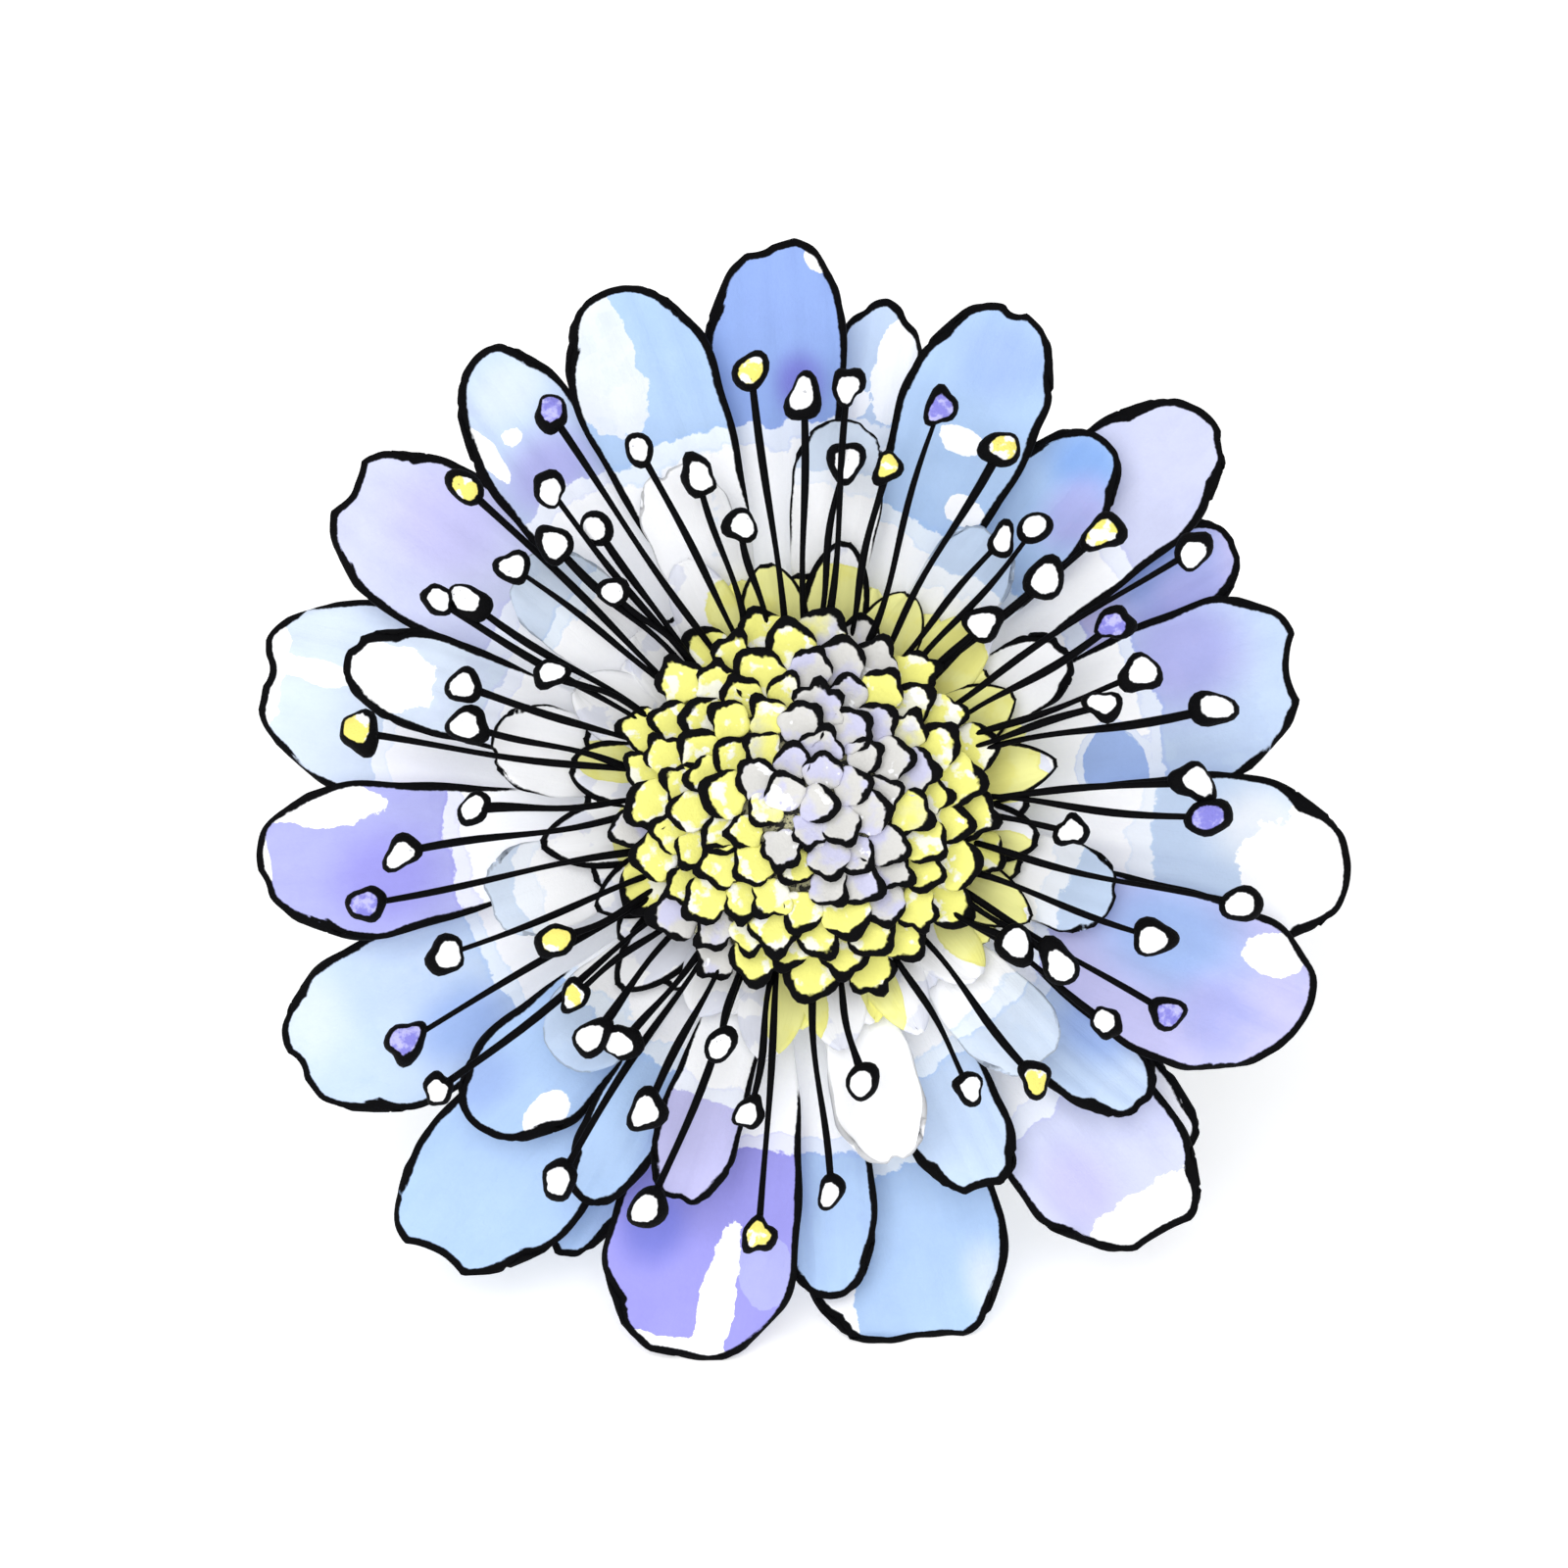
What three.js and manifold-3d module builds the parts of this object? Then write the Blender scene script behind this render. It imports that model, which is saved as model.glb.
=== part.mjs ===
// A freshly cut pincushion flower (scabious), lying on a table. It rests on the tips of two
// lower petals and on the end of its short stem, with its face turned up and forward.
//
// Millimetres, +Z up, the table at height 0. The head is built in a frame of its own, which is
// how the flower is seen face on: +X to the right, +Y to the upper petals, +Z out of the face.
// Angles on the head are degrees, anticlockwise from +X.

import * as THREE from "three";
import { mergeVertices } from "three/addons/utils/BufferGeometryUtils.js";
import Module from "manifold-3d";

const wasm = await Module();
wasm.setup();

const { degToRad, lerp, smoothstep } = THREE.MathUtils;

// How the flower lies.
const FACE_TILT = 35;
const HEAD_HEIGHT = 32.9;
const ROOM = 300;

// The receptacle, the domed cushion that everything grows on.
const WALL_RADIUS = 8.0;
const WALL_BOTTOM = -3.95;
const WALL_TOP = 2.95;
const DOME_RADIUS = 11.5;
const DOME_EDGE = 3.9;
const DOME_TOP = 9.3;
const DOME_SIDES = 12;
const DOME_RINGS = [0.86, 0.5];
const CLEARANCE = 0.3;

// Petals: thin blades that narrow to a claw at the receptacle.
const PETAL_THICKNESS = 0.62;
const PETAL_ROOT = WALL_RADIUS + CLEARANCE;
const CLAW_HALF_WIDTH = 1.25;
const PETAL_COLUMNS = 4;
const PETAL_ROWS = 6;
const WIDEST_AT = 0.84;
const CLAW_SWELL = 1.5;
const TIP_SHOULDER = 0.6;
const TIP_ROUNDING = 0.068;
const SPREAD_RISE = 0.06;
const SPREAD_DROOP = 0.003;
const NOTCH_HALF_WIDTH = 0.45;
const PETAL_CUP = 0.55;
const PETAL_WAVE = 0.4;
const PETAL_SKEW = 0.3;
const WAVE_AT_ROOT = 0.05;
const WAVE_PER_MM = 0.03;
const WAVES_ALONG = 7;
const WAVES_ACROSS = 2.6;
const TIP_BEND_FROM = 0.72;

// Petals, layer by layer from the back of the head to its face. Each row is the angle, the reach
// from the centre of the head, the width, the depth of the notch in the tip (less than 0 for
// a point), how much further the tip reaches on its clockwise side, the wash of colour, and how
// far the tip bends up or down where the table lifts it.
const PETAL_LAYERS = [
  {
    name: "petal_back",
    height: -3.2,
    slope: -6,
    petals: [
      [31, 34.8, 8.2, 0.0, 0.0, "periwinkle", 0],
      [166.8, 38.8, 13.4, 0.6, 0.7, "white", 0],
      [208, 39.8, 12.4, 0.3, 0.5, "sky", 0],
      [241.3, 35.5, 6.6, 0.0, 0.0, "sky", 0],
      [283, 38.8, 14.5, 1.0, 0.0, "sky", 2.2],
      [318.6, 35.9, 5.6, 0.0, 0.0, "white", 0],
    ],
  },
  {
    name: "petal_rear",
    height: -2.1,
    slope: -2,
    petals: [
      [15.2, 35.5, 12.6, 1.0, -1.0, "periwinkle", 0],
      [43.6, 38.5, 10.0, 0.0, 0.5, "lavender", 0],
      [81, 34.4, 7.4, -0.6, 0.0, "white", 0],
      [145, 38.6, 11.5, 0.9, 0.3, "lavender", 0],
      [187.7, 37.6, 10.9, 0.0, 0.6, "purple", 0],
      [230.8, 40.8, 12.2, 1.0, 0.8, "sky", 0],
      [273.3, 34.1, 7.0, 0.0, 0.0, "periwinkle", 0],
      [310.2, 39.1, 12.0, 0.6, -0.9, "lavender", 0],
    ],
  },
  {
    name: "petal_mid",
    height: -1.0,
    slope: 2,
    petals: [
      [353, 37.6, 11.4, 0.0, 0.3, "white", 0],
      [51, 32.2, 7.8, 0.0, 0.3, "sky", 0],
      [93.7, 38.4, 9.8, 0.4, 1.0, "periwinkle", 0],
      [127.3, 37.7, 8.8, 0.0, 1.0, "lavender", 0],
      [257.3, 39.3, 13.2, 0.4, 0.2, "purple", -2.2],
      [318.2, 31.1, 7.0, 0.0, 0.0, "sky", 0],
      [295.2, 29.4, 7.4, 0.5, -0.6, "sky", 0],
      [225.5, 31.4, 8.6, 0.0, 0.6, "sky", 0],
    ],
  },
  {
    name: "petal_front",
    height: 0.1,
    slope: 6,
    petals: [
      [335.4, 36.9, 12.2, 0.0, -1.2, "periwinkle", 0],
      [66.8, 36.5, 9.9, 0.0, 0.0, "sky", 0],
      [110.9, 37.2, 10.2, 0.0, -0.3, "sky", 0],
      [162.4, 32.6, 6.8, 0.0, 0.0, "lavender", 0],
      [241.6, 30.9, 5.6, 0.0, 0.0, "sky", 0],
    ],
  },
  {
    name: "petal_inner",
    height: 1.2,
    slope: 10,
    petals: [
      [29.5, 20.6, 5.2, 0.0, 0.0, "white", 0],
      [54, 22.4, 5.8, 0.3, 0.0, "white", 0],
      [84, 26.0, 6.4, 0.0, 0.0, "white", 0],
      [112, 24.5, 6.2, 0.3, 0.0, "white", 0],
      [140, 25.0, 6.4, 0.0, 0.0, "sky", 0],
      [169, 21.5, 6.0, 0.0, 0.0, "white", 0],
      [198, 22.5, 6.4, 0.4, 0.0, "white", 0],
      [226, 24.0, 6.4, 0.0, 0.0, "sky", 0],
      [251.8, 28.4, 5.8, 0.3, 0.0, "lavender", 0],
      [284, 25.0, 6.2, 0.0, 0.0, "white", 0],
      [312, 24.0, 6.4, 0.3, 0.0, "sky", 0],
      [342, 22.0, 6.2, 0.0, 0.0, "white", 0],
    ],
  },
];

// The collar, the outermost ring of disc florets with their one long lobe.
const COLLAR_LOBES = 20;
const COLLAR_COLUMNS = 4;
const COLLAR_ROWS = 2;
const COLLAR_THICKNESS = 0.6;
const COLLAR_SLIT = 10.6;
const COLLAR_REACH = 16.9;
const COLLAR_REACH_SPREAD = 1.3;
const COLLAR_HEIGHT = 2.4;
const COLLAR_SLOPE = 0.24;
const COLLAR_KEEL = 0.16;

// Disc florets: small five-cornered cups set over the dome in the spiral that seeds follow.
const FLORET_COUNT = 104;
const FLORET_LOBES = 5;
const FLORET_RIM = 11.4;
const FLORET_LIP = 1.2;
const FLORET_SPREAD = 0.14;
const FLORET_NECK = 0.55;
const FLORET_STAND = 1.45;
const FLORET_HOLLOW = 0.8;
const FLORET_SINK = 0.8;
const GOLDEN_ANGLE = Math.PI * (3 - Math.sqrt(5));

// Stamens: thin filaments that leave the rim of the cushion and arch out over the petals, each
// with a pollen head. Each row is the angle of the pollen head and its reach from the centre.
const STAMENS = [
  [3, 26], [13, 28], [18, 21], [21, 24], [30, 24], [33, 31], [42, 27], [43, 22],
  [45, 17], [50, 24], [53, 22], [61, 27], [71, 28], [76, 23], [83, 23], [84, 28],
  [90, 27], [97, 29], [103, 19], [108, 23], [115, 26], [123, 31], [127, 23], [129, 27],
  [132, 19], [134, 24], [137, 31], [141, 25], [149, 26], [151, 28], [153, 19], [161, 24],
  [167, 23], [171, 30], [181, 22], [187, 27], [193, 30], [203, 26], [209, 19], [211, 31],
  [218, 31], [220, 20], [228, 21], [233, 20], [237, 30], [243, 23], [249, 29], [251, 17],
  [260, 21], [264, 29], [274, 26], [282, 19], [300, 22], [310, 24], [324, 25], [326, 17],
  [328, 20], [330, 28], [339, 25], [347, 30], [354, 18], [358, 27],
];
const STAMEN_LEAN = 5;
const STAMEN_ROOT = { radius: 9.4, height: 4.9 };
const STAMEN_CREST = { radius: 14.5, height: 7.8 };
const STAMEN_END_HEIGHT = 7.6;
const STAMEN_END_SPREAD = 1.6;
const FILAMENT_RADIUS = 0.4;
const FILAMENT_SIDES = 3;
const FILAMENT_STEPS = 3;
const ANTHER_LENGTH = 1.3;
const ANTHER_WIDTH = 1.08;
const ANTHER_SPREAD = 0.16;
const ANTHER_TURN = 0.6;

// The green cup below the petals, with its ring of narrow bracts.
const CUP_FOOT = -8.7;
const CUP_TOP = WALL_BOTTOM - CLEARANCE;
const CUP_PROFILE = [
  [1.9, CUP_FOOT],
  [2.9, -8.3],
  [5.4, -6.7],
  [7.6, -5.3],
  [8.1, -4.7],
  [8.1, CUP_TOP],
];
const CUP_SIDES = 16;
const BRACT_COUNT = 12;
const BRACT_JITTER = 0.3;
const BRACT_ROOT = 5.0;
const BRACT_REACH = 16.6;
const BRACT_REACH_SPREAD = 1.4;
const BRACT_HALF_WIDTH = 1.45;
const BRACT_SHOULDER = 0.3;
const BRACT_TIP = 0.95;
const BRACT_THICKNESS = 0.6;
const BRACT_HEIGHT = -5.5;
const BRACT_SLOPE = -0.08;
const BRACT_COLUMNS = 2;
const BRACT_ROWS = 4;
const BRACT_KEEL = 0.28;

// The stem, which leaves the cup straight back and bends to lie along the table.
const STEM_TOP_RADIUS = 1.75;
const STEM_RADIUS = 1.2;
const STEM_SIDES = 8;
const STEM_STEPS = 18;
const STEM_REACH = 60;
const STEM_DRIFT = 4;
const STEM_PULL = 19;
const STEM_REST = 30;
const STEM_FLARE = 6;
const STEM_SINK = 0.12;

const COLOURS = {
  sky: 0xa9c3ee,
  periwinkle: 0x8ba0e4,
  lavender: 0xb9b6ea,
  purple: 0x9a8ede,
  white: 0xe9effb,
  floret: 0xd6d08a,
  collar: 0xf0ee9a,
  green: 0x8fae74,
  stem: 0x7f9f68,
};

// A repeatable draw of numbers from 0 to 1.
function seededDraw(seed) {
  let state = seed;
  return () => {
    state = (state + 0x6d2b79f5) | 0;
    let mixed = Math.imul(state ^ (state >>> 15), 1 | state);
    mixed = (mixed + Math.imul(mixed ^ (mixed >>> 7), 61 | mixed)) ^ mixed;
    return ((mixed ^ (mixed >>> 14)) >>> 0) / 4294967296;
  };
}

function wash(colour) {
  return new THREE.MeshStandardMaterial({
    color: COLOURS[colour],
    roughness: 0.72,
    metalness: 0,
  });
}

// A closed solid from a geometry whose vertices are shared by place alone.
function solidOf(geometry) {
  const bare = geometry.clone();
  bare.deleteAttribute("normal");
  bare.deleteAttribute("uv");
  const merged = mergeVertices(bare, 1e-4);
  return new wasm.Manifold(
    new wasm.Mesh({
      numProp: 3,
      vertProperties: merged.attributes.position.array,
      triVerts: new Uint32Array(merged.index.array),
    }),
  );
}

// The outer shell alone, so that a hollow sealed between two florets is filled.
function filled(solid) {
  return solid.decompose().reduce((most, part) => (part.volume() > most.volume() ? part : most));
}

function geometryOf(solid) {
  const { vertProperties, triVerts } = solid.getMesh();
  const geometry = new THREE.BufferGeometry();
  geometry.setAttribute("position", new THREE.BufferAttribute(vertProperties, 3));
  geometry.setIndex(new THREE.BufferAttribute(triVerts, 1));
  geometry.computeVertexNormals();
  return geometry;
}

function namedMesh(name, geometry, colour) {
  const mesh = new THREE.Mesh(geometry, wash(colour));
  mesh.name = name;
  return mesh;
}

// A thin closed blade over a grid of columns and rows. middleAt gives the middle of its thickness
// for across, from -1 to 1, and along, from 0 to 1. Both faces carry the same triangles.
function bladeGeometry(columns, rows, thickness, middleAt) {
  const grid = new THREE.PlaneGeometry(2, 1, columns, rows);
  const flat = grid.attributes.position;
  const half = new THREE.Vector3(0, 0, thickness / 2);
  const points = [];
  for (const side of [1, -1]) {
    for (let i = 0; i < flat.count; i += 1) {
      const middle = middleAt(flat.getX(i), flat.getY(i) + 0.5);
      points.push(middle.addScaledVector(half, side));
    }
  }
  const under = flat.count;
  const faces = [];
  for (let i = 0; i < grid.index.count; i += 3) {
    const [a, b, c] = [0, 1, 2].map((k) => grid.index.getX(i + k));
    faces.push(a, b, c, under + c, under + b, under + a);
  }
  const rim = rimOf(columns, rows);
  rim.forEach((start, i) => {
    const end = rim[(i + 1) % rim.length];
    faces.push(under + start, under + end, end, under + start, end, start);
  });
  const blade = new THREE.BufferGeometry().setFromPoints(points);
  blade.setIndex(faces);
  return blade;
}

// The grid's border, anticlockwise from its lower left corner.
function rimOf(columns, rows) {
  const at = (column, row) => row * (columns + 1) + column;
  const rim = [];
  for (let column = 0; column < columns; column += 1) rim.push(at(column, rows));
  for (let row = rows; row > 0; row -= 1) rim.push(at(columns, row));
  for (let column = columns; column > 0; column -= 1) rim.push(at(column, 0));
  for (let row = 0; row < rows; row += 1) rim.push(at(0, row));
  return rim;
}

// A closed tube along a curve: a cylinder whose rings are carried to the curve's stations. Every
// ring has its first corner square to the sideways direction, so that the tube doesn't twist.
function tubeGeometry(curve, sides, steps, sideways, radiusAt) {
  const tube = new THREE.CylinderGeometry(1, 1, 1, sides, steps);
  const place = tube.attributes.position;
  const point = new THREE.Vector3();
  for (let i = 0; i < place.count; i += 1) {
    const along = place.getY(i) + 0.5;
    const forward = curve.getTangentAt(along);
    const up = sideways.clone().cross(forward).normalize();
    const across = forward.clone().cross(up).normalize();
    const radius = radiusAt(along);
    curve.getPointAt(along, point);
    point.addScaledVector(across, place.getX(i) * radius);
    point.addScaledVector(up, place.getZ(i) * radius);
    place.setXYZ(i, point.x, point.y, point.z);
  }
  return tube;
}

function petalHalfWidth(along, halfWidth) {
  if (along < WIDEST_AT) {
    const swell = Math.sin((along / WIDEST_AT) * (Math.PI / 2)) ** CLAW_SWELL;
    return lerp(CLAW_HALF_WIDTH, halfWidth, swell);
  }
  const beyond = (TIP_SHOULDER * (along - WIDEST_AT)) / (1 - WIDEST_AT);
  return halfWidth * Math.sqrt(1 - beyond * beyond);
}

// One petal. Its height is the layer's own slope, the gentle rise and droop that all layers
// share, and a cup and wave of its own that never reach the layers above and below.
function petalGeometry(layer, petal, draw) {
  const [angle, reach, width, notch, lean, , tipBend] = petal;
  const length = reach - PETAL_ROOT;
  const slope = Math.tan(degToRad(layer.slope));
  const cup = lerp(-PETAL_CUP, PETAL_CUP, draw());
  const wave = PETAL_WAVE * lerp(0.5, 1, draw());
  const phase = draw() * Math.PI * 2;
  const skew = lerp(-PETAL_SKEW, PETAL_SKEW, draw());
  const middleAt = (across, along) => {
    const rounding = TIP_ROUNDING * length * across * across * along * along;
    const dent = notch * Math.max(0, 1 - (across / NOTCH_HALF_WIDTH) ** 2) * along ** 8;
    const tip = lean * across * along * along;
    const radius = PETAL_ROOT + length * along + tip - rounding - dent;
    const sideways = across * petalHalfWidth(along, width / 2) + skew * along * along;
    const run = radius - PETAL_ROOT;
    const room = WAVE_AT_ROOT + WAVE_PER_MM * run;
    const ruffle = Math.sin(phase + along * WAVES_ALONG + across * WAVES_ACROSS);
    const lift = room * (cup * (2 * across * across - 1) + wave * ruffle);
    const bend = tipBend * smoothstep(along, TIP_BEND_FROM, 1);
    const shared = SPREAD_RISE * run - SPREAD_DROOP * run * run;
    return new THREE.Vector3(sideways, radius, layer.height + slope * run + shared + lift + bend);
  };
  const blade = bladeGeometry(PETAL_COLUMNS, PETAL_ROWS, PETAL_THICKNESS, middleAt);
  return blade.rotateZ(degToRad(angle - 90));
}

// The room below the table, in the frame that the matrix gives. What would reach into it is
// trimmed, which leaves the flat spots that the flower rests on.
function belowTable(toTable) {
  const room = new THREE.BoxGeometry(ROOM, ROOM, ROOM).translate(0, 0, -ROOM / 2);
  return solidOf(room.applyMatrix4(toTable.clone().invert()));
}

function petals(head) {
  const table = belowTable(head.matrix);
  const draw = seededDraw(17);
  return PETAL_LAYERS.flatMap((layer) =>
    layer.petals.map((petal, i) => {
      const blade = solidOf(petalGeometry(layer, petal, draw));
      const name = `${layer.name}_${i + 1}`;
      return namedMesh(name, geometryOf(blade.subtract(table)), petal[5]);
    }),
  );
}

// How far the collar reaches at one angle: each lobe is a rounded ray between two slits.
function collarReach(turn, reaches) {
  const lobe = Math.floor(turn * COLLAR_LOBES);
  const within = (turn * COLLAR_LOBES - lobe) * 2 - 1;
  const bulge = Math.sqrt(Math.max(0, 1 - within ** 2));
  return lerp(COLLAR_SLIT, reaches[lobe % COLLAR_LOBES], bulge);
}

function collar() {
  const draw = seededDraw(5);
  const reaches = Array.from(
    { length: COLLAR_LOBES },
    (_, i) => COLLAR_REACH + COLLAR_REACH_SPREAD * ((i % 2) - draw()),
  );
  const steps = COLLAR_LOBES * COLLAR_COLUMNS;
  const middleAt = (across, along) => {
    const turn = ((across + 1) / 2) % 1;
    const radius = lerp(PETAL_ROOT, collarReach(turn, reaches), along);
    const keel = COLLAR_KEEL * Math.cos(turn * COLLAR_LOBES * Math.PI * 2) * along;
    const height = COLLAR_HEIGHT + COLLAR_SLOPE * (radius - PETAL_ROOT) - keel;
    const angle = -turn * Math.PI * 2;
    return new THREE.Vector3(radius * Math.cos(angle), radius * Math.sin(angle), height);
  };
  const ring = bladeGeometry(steps, COLLAR_ROWS, COLLAR_THICKNESS, middleAt);
  return namedMesh("collar_florets", geometryOf(solidOf(weldSeam(ring))), "collar");
}

// Drops the two walls where a ring's first and last columns meet.
function weldSeam(ring) {
  const welded = mergeVertices(ring, 1e-4);
  const faces = welded.index.array;
  const seen = new Map();
  const key = (i) => [faces[i], faces[i + 1], faces[i + 2]].sort((a, b) => a - b).join();
  for (let i = 0; i < faces.length; i += 3) seen.set(key(i), (seen.get(key(i)) ?? 0) + 1);
  const kept = [];
  for (let i = 0; i < faces.length; i += 3) {
    if (seen.get(key(i)) === 1) kept.push(faces[i], faces[i + 1], faces[i + 2]);
  }
  welded.setIndex(kept);
  return welded;
}

function domeHeight(radius) {
  const rise = Math.sqrt(Math.max(0, 1 - (radius / DOME_RADIUS) ** 2));
  return lerp(DOME_EDGE, DOME_TOP, rise);
}

function receptacle() {
  const profile = [
    [0, WALL_BOTTOM],
    [WALL_RADIUS, WALL_BOTTOM],
    [WALL_RADIUS, WALL_TOP],
    [DOME_RADIUS, DOME_EDGE],
  ];
  for (const share of DOME_RINGS) {
    profile.push([DOME_RADIUS * share, domeHeight(DOME_RADIUS * share)]);
  }
  profile.push([0, DOME_TOP]);
  return turned(profile, DOME_SIDES);
}

// A turned solid about +Z from a profile of radius and height, listed from below to above.
function turned(profile, sides) {
  const points = profile.map(([radius, height]) => new THREE.Vector2(radius, height));
  return new THREE.LatheGeometry(points, sides).rotateX(Math.PI / 2);
}

// One cup with a lobe at each corner, standing on +Z with its neck below the dome's surface.
function floretGeometry() {
  const profile = [
    [0, -FLORET_SINK],
    [FLORET_NECK, -FLORET_SINK],
    [FLORET_LIP, FLORET_STAND],
    [0, FLORET_STAND - FLORET_HOLLOW],
  ];
  return turned(profile, FLORET_LOBES);
}

function florets(draw) {
  const cup = floretGeometry();
  const up = new THREE.Vector3(0, 0, 1);
  return Array.from({ length: FLORET_COUNT }, (_, i) => {
    const radius = FLORET_RIM * Math.sqrt((i + 0.5) / FLORET_COUNT);
    const angle = i * GOLDEN_ANGLE;
    const foot = new THREE.Vector3(
      radius * Math.cos(angle),
      radius * Math.sin(angle),
      domeHeight(radius),
    );
    const outward = new THREE.Vector3(foot.x, foot.y, 0).divideScalar(DOME_RADIUS ** 2);
    outward.z = (foot.z - DOME_EDGE) / (DOME_TOP - DOME_EDGE) ** 2;
    outward.normalize();
    const turn = new THREE.Quaternion().setFromUnitVectors(up, outward);
    const spin = new THREE.Quaternion().setFromAxisAngle(up, draw() * Math.PI);
    const scale = lerp(1 - FLORET_SPREAD, 1, draw());
    const matrix = new THREE.Matrix4().compose(
      foot,
      turn.multiply(spin),
      new THREE.Vector3(scale, scale, scale),
    );
    return solidOf(cup.clone().applyMatrix4(matrix));
  });
}

function stamen(angle, reach, draw) {
  const lean = degToRad(lerp(-STAMEN_LEAN, STAMEN_LEAN, draw()));
  const end = STAMEN_END_HEIGHT + STAMEN_END_SPREAD * draw();
  const at = (radius, height, offset) =>
    new THREE.Vector3(
      radius * Math.cos(angle + offset),
      radius * Math.sin(angle + offset),
      height,
    );
  const curve = new THREE.QuadraticBezierCurve3(
    at(STAMEN_ROOT.radius, STAMEN_ROOT.height, -lean),
    at(STAMEN_CREST.radius, STAMEN_CREST.height, -lean / 2),
    at(reach, end, 0),
  );
  const sideways = at(1, 0, Math.PI / 2);
  const even = () => FILAMENT_RADIUS;
  const filament = tubeGeometry(curve, FILAMENT_SIDES, FILAMENT_STEPS, sideways, even);
  const size = lerp(1 - ANTHER_SPREAD, 1 + ANTHER_SPREAD, draw());
  const anther = new THREE.IcosahedronGeometry(1, 0);
  anther.scale(ANTHER_LENGTH * size, ANTHER_WIDTH * size, ANTHER_WIDTH * size);
  anther.rotateZ(angle + lerp(-ANTHER_TURN, ANTHER_TURN, draw()));
  anther.translate(curve.v2.x, curve.v2.y, curve.v2.z);
  return solidOf(filament).add(solidOf(anther));
}

function stamens(draw) {
  return STAMENS.map(([angle, reach]) => stamen(degToRad(angle), reach, draw));
}

function floretHead() {
  const draw = seededDraw(29);
  const grown = [...florets(draw), ...stamens(draw)];
  const fused = grown.reduce((whole, piece) => whole.add(piece), solidOf(receptacle()));
  return namedMesh("floret_head", geometryOf(filled(fused)), "floret");
}

function bractGeometry(angle, reach) {
  const length = reach - BRACT_ROOT;
  const middleAt = (across, along) => {
    const taper = Math.sin(Math.PI * lerp(BRACT_SHOULDER, BRACT_TIP, along));
    const halfWidth = BRACT_HALF_WIDTH * taper;
    const radius = BRACT_ROOT + length * along;
    const keel = BRACT_KEEL * (Math.abs(across) - 1) * (1 - along);
    const height = BRACT_HEIGHT + BRACT_SLOPE * (radius - BRACT_ROOT) + keel;
    return new THREE.Vector3(across * halfWidth, radius, height);
  };
  const blade = bladeGeometry(BRACT_COLUMNS, BRACT_ROWS, BRACT_THICKNESS, middleAt);
  return blade.rotateZ(angle - Math.PI / 2);
}

function involucre() {
  const draw = seededDraw(41);
  const profile = [[0, CUP_FOOT], ...CUP_PROFILE, [0, CUP_TOP]];
  let whole = solidOf(turned(profile, CUP_SIDES));
  for (let i = 0; i < BRACT_COUNT; i += 1) {
    const angle = ((i + BRACT_JITTER * draw()) * Math.PI * 2) / BRACT_COUNT;
    const reach = BRACT_REACH + BRACT_REACH_SPREAD * ((i % 2) - draw());
    whole = whole.add(solidOf(bractGeometry(angle, reach)));
  }
  return namedMesh("involucre", geometryOf(filled(whole)), "green");
}

// The stem in the table's frame, from just below the cup to its cut end.
function stem(head) {
  const top = new THREE.Vector3(0, 0, CUP_FOOT - CLEARANCE).applyMatrix4(head.matrix);
  const back = new THREE.Vector3(0, 0, -1).transformDirection(head.matrix);
  const end = new THREE.Vector3(STEM_DRIFT, STEM_REACH, STEM_RADIUS - STEM_SINK);
  const run = new THREE.Vector3(STEM_DRIFT / STEM_REACH, 1, 0).normalize();
  const curve = new THREE.CubicBezierCurve3(
    top,
    top.clone().addScaledVector(back, STEM_PULL),
    end.clone().addScaledVector(run, -STEM_REST),
    end,
  );
  const sideways = new THREE.Vector3(1, 0, 0);
  const radiusAt = (along) => lerp(STEM_RADIUS, STEM_TOP_RADIUS, (1 - along) ** STEM_FLARE);
  const tube = tubeGeometry(curve, STEM_SIDES, STEM_STEPS, sideways, radiusAt);
  const rested = solidOf(tube).subtract(belowTable(new THREE.Matrix4()));
  return namedMesh("stem", geometryOf(rested), "stem");
}

function pincushionFlower() {
  const head = new THREE.Group();
  head.rotation.x = degToRad(90 - FACE_TILT);
  head.position.z = HEAD_HEIGHT;
  head.updateMatrix();
  head.add(floretHead(), collar(), ...petals(head), involucre());
  const flower = new THREE.Group();
  flower.add(head, stem(head));
  flower.updateMatrixWorld(true);
  const middle = new THREE.Box3().setFromObject(flower, true).getCenter(new THREE.Vector3());
  flower.position.set(-middle.x, -middle.y, 0);
  return flower;
}

export default pincushionFlower();
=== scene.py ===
"""The looks of a freshly cut pincushion flower that lies on a table with its face turned up.

Each part of the flower is a class that holds its sizes in millimetres, builds its meshes with
bmesh and dresses them in a finish of its own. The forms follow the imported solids, with the same
formulas and the same seeded draws, and add finer ruffles, lobes, ribs and hairs. The petals are
finished as washes of watercolour with inked margins, which is how the flower is drawn.

Angles on the head are degrees, anticlockwise from its +X, seen from in front of its face.
"""

import logging
import math
from collections.abc import Mapping, Sequence
from dataclasses import dataclass
from enum import Enum

import bmesh
import bpy
from mathutils import Matrix, Quaternion, Vector
from mathutils.kdtree import KDTree


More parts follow.
